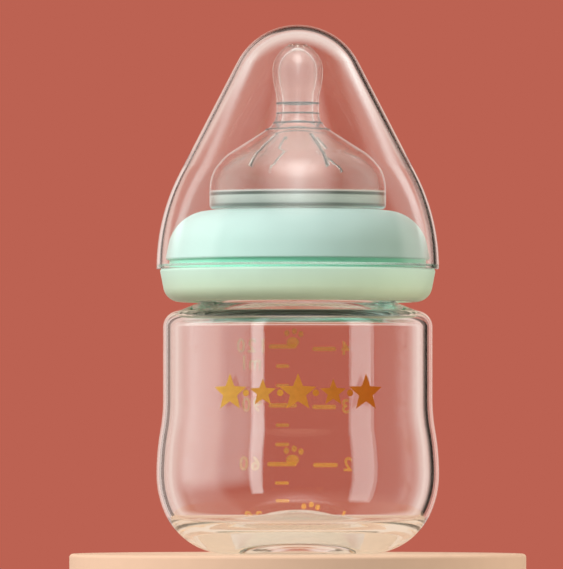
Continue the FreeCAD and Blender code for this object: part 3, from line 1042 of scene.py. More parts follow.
@dataclass
class GlassBottle(TurnedPiece):
    """The glass bottle: foot, heel, belly, waist, shoulder, bead, threaded neck and cavity."""

    name, node = "bottle_glass", "bottle_body"
    body, slot, finish = Body.BOTTLE, Slot.GLASS, GLASS
    belly_height: float = 18.2
    belly_swell: float = 1.5
    belly_arc_radius: float = 22.0
    belly_arc_angle: float = 24.0
    foot_ring_width: float = 5.0
    foot_recess_depth: float = 1.2
    waist_radius: float = 30.7
    waist_rise: float = 16.8
    waist_length: float = 19.3
    waist_flare_share: float = 0.6
    shoulder_slope: float = 18.5
    shoulder_corner_radius: float = 3.8
    neck_radius: float = 22.4
    neck_height: float = 16.6
    neck_wall: float = 2.8
    neck_fillet_radius: float = 0.8
    rim_edge_radius: float = 0.6
    bead_projection: float = 2.4
    bead_height: float = 1.4
    bead_rise: float = 0.8
    bead_edge_radius: float = 0.5
    glass_wall: float = 2.0
    floor_height: float = 6.2
    bowl_angle: float = 26.0
    floor_dome_radius: float = 16.0
    floor_dome_height: float = 3.8
    floor_dome_share: float = 0.2
    throat_fillet_radius: float = 2.5
    thread_below_rim: float = 2.8
    thread: Thread = field(default_factory=lambda: Thread(depth=1.5))

    def __post_init__(self) -> None:
        """Work out the heights and radii that follow from the sizes."""
        self.belly_radius = self.waist_radius + self.belly_swell
        self.waist_height = self.belly_height + self.waist_rise
        self.shoulder_height = self.waist_height + self.waist_length
        self.bore_radius = self.neck_radius - self.neck_wall
        self.bead_radius = self.neck_radius + self.bead_projection
        self.neck_foot = self.shoulder_surface(self.neck_radius)
        self.bead_foot = self.neck_foot + self.bead_rise
        self.bead_top = self.bead_foot + self.bead_height
        self.rim_height = self.neck_foot + self.neck_height
        self.thread.foot = self.rim_height - self.thread_below_rim - self.thread.pitch * self.thread.turns

    def shoulder_surface(self, radius: float) -> float:
        """Height of the shoulder's outer slope at a radius."""
        return self.shoulder_height + (self.waist_radius - radius) * tangent(self.shoulder_slope)

    def outline(self) -> Outline:
        """Draw the glass from the middle of the foot up its outside, and down its inside to the floor.

        Returns:
            The outline.
        """
        heel_top = self.belly_height - self.belly_arc_radius * sine(self.belly_arc_angle)
        heel = heel_top / (1 - sine(self.belly_arc_angle))
        belly_middle = self.belly_radius - self.belly_arc_radius
        foot_radius = belly_middle + (self.belly_arc_radius - heel) * cosine(self.belly_arc_angle)
        recess_radius = foot_radius - self.foot_ring_width
        recess = (recess_radius ** 2 + self.foot_recess_depth ** 2) / (2 * self.foot_recess_depth)
        recess_edge = math.degrees(math.acos(recess_radius / recess))

        # The foot's recess carries the painted tint: the lit floor's cream, painted light.
        glass = Outline(0, self.foot_recess_depth, mark=Mark.TINT)
        glass.arc((0, self.foot_recess_depth - recess), recess, 90, recess_edge)
        glass.mark = Mark.PLAIN
        glass.arc((foot_radius, heel), heel, -90, -self.belly_arc_angle)
        glass.arc((belly_middle, self.belly_height), self.belly_arc_radius, -self.belly_arc_angle, 0)
        glass.swell((self.waist_radius, self.waist_height), self.waist_flare_share)
        neck = (self.neck_radius, self.neck_foot)
        glass.bend((self.waist_radius, self.shoulder_height), neck, self.shoulder_corner_radius)
        glass.bend(neck, (self.neck_radius, self.bead_foot), self.neck_fillet_radius)
        glass.line(self.neck_radius, self.bead_foot)
        glass.bend((self.bead_radius, self.bead_foot), (self.bead_radius, self.bead_top), self.bead_edge_radius)
        glass.bend((self.bead_radius, self.bead_top), (self.neck_radius, self.bead_top), self.bead_edge_radius)
        glass.line(self.neck_radius, self.bead_top)
        glass.mark = Mark.THREAD
        glass.line(self.neck_radius, self.rim_height - self.rim_edge_radius, self.thread.row_spacing)
        glass.mark = Mark.PLAIN
        glass.bend((self.neck_radius, self.rim_height), (self.bore_radius, self.rim_height), self.rim_edge_radius)
        self.draw_inside(glass)
        return glass

    def draw_inside(self, glass: Outline) -> None:
        """Draw the cavity from the rim down to the domed floor.

        Args:
            glass: The outline, with its pen on the rim.
        """
        waist = self.waist_radius - self.glass_wall
        belly = self.belly_radius - self.glass_wall
        under = self.glass_wall / cosine(self.shoulder_slope)
        throat = (self.bore_radius, self.shoulder_surface(self.bore_radius) - under)
        shoulder = (waist, self.shoulder_surface(waist) - under)
        middle = self.belly_radius - self.belly_arc_radius
        bowl = self.belly_arc_radius - self.glass_wall
        depth = self.belly_height - self.floor_height
        heel = (depth - bowl * sine(self.bowl_angle)) / (1 - sine(self.bowl_angle))
        heel_middle = middle + (bowl - heel) * cosine(self.bowl_angle)
        glass.bend((self.bore_radius, self.rim_height), throat, self.rim_edge_radius)
        glass.bend(throat, shoulder, self.throat_fillet_radius)
        glass.bend(shoulder, (waist, self.waist_height), self.shoulder_corner_radius - self.glass_wall)
        glass.line(waist, self.waist_height)
        glass.swell((belly, self.belly_height), 1 - self.waist_flare_share)
        glass.arc((middle, self.belly_height), bowl, 0, -self.bowl_angle)
        glass.arc((heel_middle, self.floor_height + heel), heel, -self.bowl_angle, -90)
        glass.line(self.floor_dome_radius, self.floor_height)
        glass.swell((0, self.floor_height + self.floor_dome_height), self.floor_dome_share, upright=False)


@dataclass
class SiliconeTeat(TurnedPiece):
    """The teat: plug, flange, groove, domed shoulder with ribs inside, and a nipple with hoops."""

    name, node = "teat_silicone", "teat"
    body, slot, finish = Body.TEAT, Slot.SILICONE, SILICONE
    bottle: GlassBottle
    flange_thickness: float = 2.0
    flange_clearance: float = 0.8
    flange_edge_radius: float = 0.4
    skirt_clearance: float = 0.5
    crown_overlap: float = 4.4
    crown_thickness: float = 2.3
    plug_depth: float = 2.2
    plug_clearance: float = 0.4
    plug_wall: float = 2.4
    lip_overlap: float = 0.9
    lip_clearance: float = 0.3
    lip_gap: float = 0.2
    wall: float = 1.5
    dome_rise: float = 10.3
    dome_slope: float = 32.2
    dome_corner_radius: float = 10.8
    ring_edge_radius: float = 0.9
    ring_drop: float = 0.4
    rib_end_angle: float = 33.0
    rib_end_run: float = 0.5
    rib_nipple_gap: float = 2.6
    nipple_radius: float = 4.8
    nipple_straight: float = 2.4
    nipple_flare_radius: float = 4.4
    nipple_wall: float = 1.5
    bulb_swell: float = 0.95
    bulb_taper_height: float = 6.9
    bulb_taper_share: float = 0.4
    bulb_crown_height: float = 5.9
    tip_pad_radius: float = 2.2
    tip_pad_height: float = 0.3
    feed_hole_radius: float = 0.35
    hoop_count: int = 4
    hoop_spacing: float = 2.3
    hoop_above_flare: float = 2.0
    hoop_thickness: float = 0.4
    ribs: Ribs = field(default_factory=lambda: Ribs(
        count=6, first_angle=-127.5, width=0.7, height=0.8, crowding=0.25))

    def __post_init__(self) -> None:
        """Work out the heights and radii that follow from the sizes."""
        bottle = self.bottle
        self.skirt_bore = bottle.neck_radius + bottle.thread.depth + self.skirt_clearance
        self.flange_radius = self.skirt_bore - self.flange_clearance
        self.flange_top = bottle.rim_height + self.flange_thickness
        self.crown_top = self.flange_top + self.crown_thickness
        self.hole_radius = self.flange_radius - self.crown_overlap
        self.radius = self.hole_radius + self.lip_overlap
        self.dome_foot = self.crown_top + self.lip_gap
        self.dome_corner = self.dome_foot + self.dome_rise
        self.dome_turn = 90 - self.dome_slope
        drop = self.dome_corner_radius * tangent(self.dome_turn / 2)
        self.dome_centre = (self.radius - self.dome_corner_radius, self.dome_corner - drop)
        self.nipple_corner = self.dome_surface(self.nipple_radius)
        self.flare_top = self.nipple_corner + self.nipple_flare_radius * tangent(self.dome_turn / 2)
        self.taper_foot = self.flare_top + self.nipple_straight
        self.bulb_radius = self.nipple_radius + self.bulb_swell
        self.bulb_height = self.taper_foot + self.bulb_taper_height
        self.tip_height = self.bulb_height + self.bulb_crown_height + self.tip_pad_height

    def dome_surface(self, radius: float, depth: float = 0) -> float:
        """Height of the conical shoulder at a radius, at a depth under its outer face."""
        rise = (self.radius - radius) * tangent(self.dome_slope)
        return self.dome_corner + rise - depth / cosine(self.dome_slope)

    def flare_point(self, distance: float) -> tuple[Vector, Mark]:
        """A point on the nipple's outside, hoops included.

        Args:
            distance: How far it is along the surface below the top of the flare.

        Returns:
            Its radius and height, and whether it is on a hoop.
        """
        angle = min(max(math.degrees(distance / self.nipple_flare_radius), 0), self.dome_turn)
        bent = math.radians(angle) * self.nipple_flare_radius
        above, below = min(distance, 0), max(distance - bent, 0)
        radius = self.nipple_radius + self.nipple_flare_radius * (1 - cosine(angle)) + below * cosine(self.dome_slope)
        height = self.flare_top - above - self.nipple_flare_radius * sine(angle) - below * sine(self.dome_slope)
        number = round((distance + self.hoop_above_flare) / self.hoop_spacing)
        number = min(max(number, 0), self.hoop_count - 1)
        off = abs(distance + self.hoop_above_flare - number * self.hoop_spacing)
        swell = math.sqrt(max((self.hoop_thickness / 2) ** 2 - off ** 2, 0))
        found = Vector((radius + swell * cosine(angle), height + swell * sine(angle)))
        # A hoop carries painted shade: a dark line.
        return found, Mark.TINT if swell > 0 else Mark.PLAIN

    def draw_nipple(self, silicone: Outline, last_hoop_room: float = 1.0, step: float = 0.05) -> None:
        """Draw the flare and the straight of the nipple with their hoops.

        Args:
            silicone: The outline, with its pen on the conical shoulder.
            last_hoop_room: How far below the last hoop the drawing starts.
            step: The gap between points.
        """
        start = (self.hoop_count - 1) * self.hoop_spacing - self.hoop_above_flare + last_hoop_room
        silicone.line(*self.flare_point(start)[0])
        for number in range(1, math.ceil((start + self.nipple_straight) / step)):
            found, silicone.mark = self.flare_point(start - number * step)
            silicone.put(found)
        silicone.mark = Mark.PLAIN
        silicone.put(Vector((self.nipple_radius, self.taper_foot)))

    def outline(self) -> Outline:
        """Draw the silicone from the plug's foot up the outside to the feed hole, and down the inside.

        Returns:
            The outline.
        """
        bottle = self.bottle
        groove = self.hole_radius - self.lip_clearance
        plug_radius = bottle.bore_radius - self.plug_clearance
        plug_bore = plug_radius - self.plug_wall
        plug_foot = bottle.rim_height - self.plug_depth
        pad_drop = self.bulb_radius - self.tip_pad_radius
        crown = (pad_drop ** 2 + self.bulb_crown_height ** 2) / (2 * pad_drop)
        crown_centre = (self.bulb_radius - crown, self.bulb_height)
        pad_angle = math.degrees(math.asin(self.bulb_crown_height / crown))

        silicone = Outline(plug_bore, plug_foot, spacing=1.0)
        silicone.lines((plug_radius, plug_foot), (plug_radius, bottle.rim_height))
        flange = (self.flange_radius, self.flange_top)
        silicone.bend((self.flange_radius, bottle.rim_height), flange, self.flange_edge_radius)
        silicone.bend(flange, (groove, self.flange_top), self.flange_edge_radius)
        silicone.lines((groove, self.flange_top), (groove, self.dome_foot))
        silicone.bend((self.radius, self.dome_foot), (self.radius, self.dome_corner), self.ring_edge_radius)
        nipple_corner = (self.nipple_radius, self.nipple_corner)
        silicone.bend((self.radius, self.dome_corner), nipple_corner, self.dome_corner_radius)
        self.draw_nipple(silicone)
        silicone.swell((self.bulb_radius, self.bulb_height), self.bulb_taper_share)
        silicone.arc(crown_centre, crown, 0, pad_angle)
        silicone.lines((self.tip_pad_radius, self.tip_height), (self.feed_hole_radius, self.tip_height))
        self.draw_inside(silicone, crown_centre, crown - self.nipple_wall)
        silicone.line(plug_bore, self.dome_centre[1] - self.ring_drop)
        silicone.close()
        return silicone

    def draw_inside(self, silicone: Outline, crown_centre: tuple[float, float], crown: float) -> None:
        """Draw the teat's inside from the feed hole down to the base ring, marking where the ribs stand.

        Args:
            silicone: The outline, with its pen on the tip.
            crown_centre: The centre of the nipple's crown.
            crown: The radius of the crown's inside.
        """
        hole_angle = math.degrees(math.acos((self.feed_hole_radius - crown_centre[0]) / crown))
        nipple = self.nipple_radius - self.nipple_wall
        wall = self.radius - self.wall
        corner = (wall, self.dome_surface(wall, self.wall))
        flare = (nipple, self.dome_surface(nipple, self.wall))
        rib_start = self.nipple_radius + self.rib_nipple_gap
        arc = self.dome_corner_radius - self.wall
        silicone.arc(crown_centre, crown, hole_angle, 0)
        silicone.swell((nipple, self.taper_foot), 1 - self.bulb_taper_share)
        silicone.bend(flare, corner, self.nipple_flare_radius)
        silicone.line(rib_start, self.dome_surface(rib_start, self.wall))
        silicone.mark = Mark.RIB
        silicone.arc(self.dome_centre, arc, self.dome_turn, self.rib_end_angle)
        silicone.mark = Mark.PLAIN
        silicone.arc(self.dome_centre, arc, self.rib_end_angle - self.rib_end_run, 0)
        silicone.line(wall, self.dome_centre[1] - self.ring_drop)


@dataclass
class ScrewCollar(TurnedPiece):
    """The screw collar: sloping crown with the teat's hole, the cap's groove and a threaded skirt."""

    name, node = "collar_mint", "screw_collar"
    body, slot, finish = Body.COLLAR, Slot.MINT, MINT
    bottle: GlassBottle
    teat: SiliconeTeat
    crown_slope: float = 6.8
    crown_corner_radius: float = 9.5
    crown_edge_radius: float = 0.5
    draft: float = 11.3
    upper_height: float = 13.3
    edge_radius: float = 0.4
    groove_height: float = 2.1
    groove_depth: float = 0.9
    skirt_wall: float = 1.4
    skirt_bead_gap: float = 0.8
    skirt_lead_in: float = 0.4
    cavity_width: float = 1.2
    cavity_roof: float = 2.0
    spigot_wall: float = 1.3
    spigot_step: float = 0.9
    spigot_end_gap: float = 0.3
    flank_clearance: float = 0.3
    floor_top: float = 0.0
    thread: Thread = field(default_factory=lambda: Thread(depth=1.45))

    def __post_init__(self) -> None:
        """Work out the heights and radii that follow from the sizes."""
        self.skirt_radius = self.teat.skirt_bore + self.skirt_wall
        self.cavity_radius = self.skirt_radius + self.cavity_width
        self.spigot_radius = self.cavity_radius + self.spigot_wall
        self.groove_radius = self.spigot_radius + self.spigot_step
        self.radius = self.groove_radius + self.groove_depth
        self.ledge_height = self.teat.crown_top - self.upper_height
        self.foot = self.ledge_height + self.groove_height
        drop = (self.bottle.thread.root_width + self.thread.root_width) / 2 + self.flank_clearance
        self.thread.foot = self.bottle.thread.foot - drop

    def outline(self) -> Outline:
        """Draw the collar from the teat's hole round the outside to just above the band's floor, and up the bore.

        Returns:
            The outline.
        """
        teat = self.teat
        crown, side = tangent(self.crown_slope), tangent(self.draft)
        corner_radius = self.radius - (teat.crown_top + teat.hole_radius * crown - self.foot) * side
        corner_radius = corner_radius / (1 - crown * side)
        corner = (corner_radius, teat.crown_top - (corner_radius - teat.hole_radius) * crown)
        cavity_top = teat.flange_top - self.cavity_roof
        spigot_foot = self.floor_top + self.spigot_end_gap
        skirt_foot = self.bottle.bead_top + self.skirt_bead_gap

        collar = Outline(teat.hole_radius, teat.flange_top)
        collar.bend((teat.hole_radius, teat.crown_top), corner, self.crown_edge_radius)
        collar.bend(corner, (self.radius, self.foot), self.crown_corner_radius)
        collar.bend((self.radius, self.foot), (self.groove_radius, self.foot), self.edge_radius)
        collar.lines(
            (self.groove_radius, self.foot), (self.groove_radius, self.ledge_height),
            (self.spigot_radius, self.ledge_height), (self.spigot_radius, spigot_foot),
            (self.cavity_radius, spigot_foot), (self.cavity_radius, cavity_top),
            (self.skirt_radius, cavity_top), (self.skirt_radius, skirt_foot),
            (teat.skirt_bore + self.skirt_lead_in, skirt_foot), (teat.skirt_bore, skirt_foot + self.skirt_lead_in))
        collar.mark = Mark.THREAD
        collar.line(teat.skirt_bore, teat.flange_top - self.skirt_lead_in, self.thread.row_spacing)
        collar.mark = Mark.PLAIN
        collar.line(teat.skirt_bore, teat.flange_top)
        collar.close()
        return collar


@dataclass
class CollarBand(TurnedPiece):
    """The band round the collar's foot: the cap's ledge, a tapering side and a floor."""

    name, node = "collar_band_ring", "collar_band"
    body, slot, finish = Body.COLLAR, Slot.PALE_GREEN, PALE_GREEN
    bottle: GlassBottle
    collar: ScrewCollar
    ledge_width: float = 2.2
    edge_radius: float = 0.4
    draft: float = 11.0
    corner_radius: float = 3.8
    floor: float = 1.3
    fit: float = 0.05
    shoulder_gap: float = 1.3
    bead_gap: float = 0.7

    def __post_init__(self) -> None:
        """Work out the heights and radii that follow from the sizes."""
        self.radius = self.collar.groove_radius + self.ledge_width
        self.bore = self.bottle.bead_radius + self.bead_gap
        self.foot = self.bottle.shoulder_surface(self.bore) + self.shoulder_gap
        self.floor_top = self.foot + self.floor

    def outline(self) -> Outline:
        """Draw the band from the ledge down the side, in along the floor and up the fit with the collar.

        Returns:
            The outline.
        """
        inner = self.collar.spigot_radius + self.fit
        ledge = self.collar.ledge_height
        side_foot = self.radius - (ledge - self.foot) * tangent(self.draft)
        band = Outline(inner, ledge)
        band.bend((self.radius, ledge), (side_foot, self.foot), self.edge_radius)
        band.bend((side_foot, self.foot), (self.bore, self.foot), self.corner_radius)
        band.lines((self.bore, self.foot), (self.bore, self.floor_top), (inner, self.floor_top))
        band.close()
        return band


@dataclass
class DomedCap(TurnedPiece):
    """The domed cap: a thick rim, a wide side arc, a straight flank and a round top."""

    name, node = "cap_dome", "dome_cap"
    body, slot, finish = Body.CAP, Slot.CLEAR_PLASTIC, CLEAR_PLASTIC
    teat: SiliconeTeat
    collar: ScrewCollar
    clearance: float = 0.3
    rim_wall: float = 1.8
    rim_height: float = 0.5
    rim_blend: float = 0.6
    rim_edge_radius: float = 0.3
    wall: float = 1.2
    side_radius: float = 46.4
    top_radius: float = 15.5
    headroom: float = 3.2

    def outline(self) -> Outline:
        """Draw the cap from the rim's foot up the outside to its top, and down the inside.

        Returns:
            The outline.
        """
        bore = self.collar.radius + self.clearance
        radius = bore + self.rim_wall
        top = self.teat.tip_height + self.headroom + self.wall
        ledge = self.collar.ledge_height
        top_centre = (0, top - self.top_radius)
        rim_top = ledge + self.rim_height
        wall_foot = rim_top + self.rim_blend
        inner_wall = radius - self.wall
        inner_top = self.top_radius - self.wall

        def flank(wall_radius: float, wall_top: float, round_radius: float) -> float:
            """Find the line that touches both the side arc and the round top.

            Args:
                wall_radius: The wall's radius where the side arc starts.
                wall_top: The height where the side arc starts.
                round_radius: The radius of the round top.

            Returns:
                The angle where the line leaves the side arc, in degrees.
            """
            rise, offset = top_centre[1] - wall_top, self.side_radius - wall_radius
            share = (self.side_radius - round_radius) / math.hypot(rise, offset)
            return math.degrees(math.asin(share) - math.atan2(offset, rise))

        outer_flank = flank(radius, rim_top, self.top_radius)
        inner_flank = flank(inner_wall, wall_foot, inner_top)
        cap = Outline(bore, ledge)
        cap.bend((radius, ledge), (radius, rim_top), self.rim_edge_radius)
        cap.arc((radius - self.side_radius, rim_top), self.side_radius, 0, outer_flank)
        cap.arc(top_centre, self.top_radius, outer_flank, 90)
        cap.line(0, top - self.wall)
        cap.arc(top_centre, inner_top, 90, inner_flank)
        cap.arc((inner_wall - self.side_radius, wall_foot), self.side_radius, inner_flank, 0)
        cap.line(bore, rim_top)
        cap.close()
        return cap


class Stencil:
    """Collects flat marks in millimetres, x across and y up, and makes thin ink plates of them."""

    FIGURE_SHARE = 0.7
    LETTER_SPACE = 1.3
    STROKE_WEIGHT = 0.035
    SPLITS = 4

    def __init__(self) -> None:
        """Start with an empty sheet."""
        self.form = bmesh.new()

    def corner(self, x: float, y: float) -> bmesh.types.BMVert:
        """Add a corner."""
        return self.form.verts.new((x * MM, y * MM, 0))

    def shape(self, corners: list[tuple[float, float]]) -> None:
        """Add a filled shape with these corners."""
        self.form.faces.new([self.corner(x, y) for x, y in corners])

    def disc(self, x: float, y: float, across: float, up: float, corners: int = 24) -> None:
        """Add an ellipse about a middle, with its half width across and its half height up."""
        turn = 360 / corners
        self.shape([(x + across * cosine(n * turn), y + up * sine(n * turn)) for n in range(corners)])

    def bar(self, x: float, y: float, length: float, height: float, corners: int = 6) -> None:
        """Add a bar with round ends.

        Args:
            x: Its middle across.
            y: Its middle up.
            length: Its length over all.
            height: Its height.
            corners: How many corners each round end has.
        """
        radius = height / 2
        reach = length / 2 - radius
        ends = []
        for side, start in ((1, -90), (-1, 90)):
            for number in range(corners + 1):
                angle = start + 180 * number / corners
                ends.append(around((x + side * reach, y), radius, angle))
        self.shape(ends)

    def star(self, x: float, y: float, radius: float, waist: float, points: int = 5) -> None:
        """Add a plain star.

        Args:
            x: Its middle across.
            y: Its middle up.
            radius: How far its points reach.
            waist: How far its inner corners reach.
            points: How many points it has.
        """
        middle = self.corner(x, y)
        rim = []
        for number in range(2 * points):
            reach = waist if number % 2 else radius
            rim.append(self.corner(*around((x, y), reach, 90 + 180 * number / points)))
        for number in range(2 * points):
            self.form.faces.new((middle, rim[number - 1], rim[number]))

    def words(self, text: str, x: float, y: float, size: float) -> None:
        """Add figures or letters.

        Args:
            text: What they say.
            x: Their middle across.
            y: Their middle up.
            size: The height of a figure.
        """
        curve = bpy.data.curves.new(text, "FONT")
        curve.body = text
        curve.align_x, curve.align_y = "CENTER", "CENTER"
        curve.size = size / self.FIGURE_SHARE
        curve.space_character = self.LETTER_SPACE
        curve.offset = size * self.STROKE_WEIGHT
        drawn = bpy.data.objects.new(text, curve)
        bpy.context.scene.collection.objects.link(drawn)
        bpy.context.view_layer.update()
        flat = bpy.data.meshes.new_from_object(drawn)
        bpy.data.objects.remove(drawn)
        flat.transform(Matrix.Translation((x * MM, y * MM, 0)) @ Matrix.Scale(MM, 4))
        self.form.from_mesh(flat)
        bpy.data.meshes.remove(flat)

    def plates(self, name: str, thickness: float, longest: float = 0.5) -> Object:
        """Make the marks thin closed plates with short edges, ready to be wrapped.

        Args:
            name: The object's name.
            thickness: The ink's thickness.
            longest: The longest edge that is left whole.

        Returns:
            The flat object.
        """
        bmesh.ops.remove_doubles(self.form, verts=self.form.verts, dist=SAME_PLACE)
        bmesh.ops.triangulate(self.form, faces=self.form.faces)
        for _ in range(self.SPLITS):
            long_edges = [edge for edge in self.form.edges if edge.calc_length() > longest * MM]
            bmesh.ops.subdivide_edges(self.form, edges=long_edges, cuts=1)
            bmesh.ops.triangulate(self.form, faces=self.form.faces)
        bmesh.ops.recalc_face_normals(self.form, faces=self.form.faces)
        bmesh.ops.solidify(self.form, geom=self.form.faces, thickness=thickness * MM)
        mesh = bpy.data.meshes.new(name)
        self.form.to_mesh(mesh)
        self.form.free()
        return new_object(name, mesh)


@dataclass
class PrintedMarks:
    """The print on the glass: a scale on the back, in millilitres and ounces, and an ornament in front."""

    bottle: GlassBottle
    thickness: float = 0.03
    lift: float = 0.03
    first_height: float = 6.83
    ten_ml: float = 4.53
    ml_steps: int = 10
    step_volume: int = 10
    steps_to_figure: int = 3
    ounce: float = 13.4
    ounces: int = 4
    bar_middle: float = 3.6
    bar_length: float = 6.9
    bar_height: float = 1.0
    short_share: float = 0.47
    thin_share: float = 0.8
    ounce_middle: float = -6.5
    ounce_length: float = 5.9
    ml_figures: float = 11.3
    ounce_figures: float = -11.9
    figure_height: float = 3.1
    unit_drop: float = 3.9
    paw_size: float = 1.5
    paw_figures: tuple = (1, 3)
    paw_shift: float = 1.0
    ounce_paw_shift: float = 0.6
    pad_share: float = 0.8
    toe_width: float = 0.42
    toe_height: float = 0.5
    toe_corners: int = 16
    toes: tuple = ((-1.3, 1.25), (-0.25, 1.7), (0.95, 1.4))
    ornament_height: float = 36.4
    ornament_step: float = 8.0
    ornament_count: int = 5
    large_every: int = 2
    star_radius: float = 4.4
    star_waist: float = 1.9
    dot_radius: float = 0.75
    small_star_share: float = 0.72

    def __post_init__(self) -> None:
        """Make the trees that repeat the marks and wrap them round the glass."""
        self.row, self.wrapper = PrintRow(), WrappedPrint()

    def paw(self, sheet: Stencil, x: float, y: float) -> None:
        """Add a small paw mark: a pad and three toes above it.

        Args:
            sheet: The sheet that it goes on.
            x: The pad's middle across.
            y: The pad's middle up.
        """
        size = self.paw_size
        sheet.disc(x, y, size, size * self.pad_share)
        for across, up in self.toes:
            sheet.disc(x + across * size, y + up * size, size * self.toe_width, size * self.toe_height,
                       self.toe_corners)

    def wrap(self, flat: Object, side: Side, finish: Finish) -> None:
        """Wrap flat plates round the glass and let them ride the bottle.

        Args:
            flat: The flat plates.
            side: The side of the bottle that they go on.
            finish: Their ink.
        """
        self.wrapper.fit(flat, finish, Glass=self.bottle.piece, Middle_angle=math.radians(side.value),
                         Wrap_radius=self.bottle.waist_radius * MM, Lift=self.lift * MM)
        place(bake(flat), Body.BOTTLE, Slot.GOLD, finish)

    def lay(self, flat: Object, start: tuple[float, float], side: Side, finish: Finish, **layout: object) -> None:
        """Repeat a flat mark along a row, and wrap the row round the glass.

        Args:
            flat: The mark.
            start: Where the row starts, across and up.
            side: The side of the bottle that it goes on.
            finish: Its ink.
            **layout: The row's inputs.
        """
        self.row.fit(flat, finish, **layout)
        bake(flat)
        flat.data.transform(Matrix.Translation((start[0] * MM, start[1] * MM, 0)))
        self.wrap(flat, side, finish)

    def build_bars(self) -> None:
        """Make the bars of both scales."""
        other = Vector((self.short_share, self.thin_share, 1))
        for name, middle, length, count, step, full in (
                ("millilitre_bars", self.bar_middle, self.bar_length, self.ml_steps, self.ten_ml,
                 self.steps_to_figure),
                ("ounce_bars", self.ounce_middle, self.ounce_length, self.ounces, self.ounce, 1)):
            sheet = Stencil()
            sheet.bar(0, 0, length, self.bar_height)
            self.lay(sheet.plates(name, self.thickness), (middle, self.first_height), Side.BACK, SCALE_INK,
                     Count=count, Step=Vector((0, step * MM, 0)), Full_every=full, Other_scale=other)

    def build_figures(self) -> None:
        """Make the figures and paw marks of both scales."""
        sheet = Stencil()
        rise = self.steps_to_figure * self.ten_ml
        for number in range(self.ounces):
            volume = self.step_volume * self.steps_to_figure * (number + 1)
            sheet.words(str(volume), self.ml_figures, self.first_height + number * rise, self.figure_height)
            height = self.first_height + number * self.ounce
            sheet.words(str(number + 1), self.ounce_figures, height, self.figure_height)
        top = self.first_height + (self.ml_steps - 1) * self.ten_ml
        sheet.words("ml", self.ml_figures, top - self.unit_drop, self.figure_height)
        above = self.first_height + self.paw_shift
        for number in self.paw_figures:
            self.paw(sheet, self.bar_middle - self.bar_length / 2 + self.paw_shift, above + number * rise)
        self.paw(sheet, self.ounce_middle + self.ounce_length / 2 + self.ounce_paw_shift, above)
        self.wrap(sheet.plates("scale_figures", self.thickness), Side.BACK, SCALE_INK)

    def build_ornament(self) -> None:
        """Make the front ornament: a row of plain stars, large and small in turn, with dots between them."""
        half = self.ornament_step * (self.ornament_count - 1) / 2
        stars = Stencil()
        stars.star(0, 0, self.star_radius, self.star_waist)
        dots = Stencil()
        dots.disc(0, 0, self.dot_radius, self.dot_radius)
        for name, sheet, start, count, small in (
                ("front_stars", stars, -half, self.ornament_count, self.small_star_share),
                ("front_dots", dots, self.ornament_step / 2 - half, self.ornament_count - 1, 1.0)):
            self.lay(sheet.plates(name, self.thickness), (start, self.ornament_height), Side.FRONT, FRONT_INK,
                     Count=count, Step=Vector((self.ornament_step * MM, 0, 0)), Full_every=self.large_every,
                     Other_scale=Vector((small, small, 1)))

    def build(self) -> None:
        """Make all the print."""
        self.build_bars()
        self.build_figures()
        self.build_ornament()


COOL = (0.8, 1.0, 0.98)
WARM = (0.95, 0.86, 0.6)
SUNNY = (1.0, 0.92, 0.78)
RED = (1.0, 0.3, 0.22)


class Tone(Enum):
    """Colours of the studio's surroundings."""

    BACKDROP = shade(188, 98, 82)
    BLUSH = (0.85, 0.62, 0.56, 1.0)
    ROSE = (0.8, 0.56, 0.49, 1.0)
    BRIGHT = (0.95, 0.78, 0.73, 1.0)
    PALE = (0.9, 0.8, 0.74, 1.0)
    FLAG = (0.02, 0.012, 0.01, 1.0)
    DIM = (0.1, 0.06, 0.05, 1.0)
    GROUND = (0.86, 0.62, 0.47, 1.0)
    DEEP = (0.88, 0.7, 0.55, 1.0)
    FILL = (0.39, 0.388, 0.365, 1.0)
    GLOW = (3.0, 2.9, 2.75, 1.0)


@dataclass(frozen=True)
class Softbox:
    """A soft rectangular light that faces the bottle, and lights only the pieces that it names, if any."""

    name: str
    azimuth: float
    elevation: float
    distance: float
    width: float
    height: float
    radiance: float
    use: Use
    colour: tuple = (1.0, 1.0, 1.0)
    pieces: tuple = ()
    soft_edge: float = 0.0


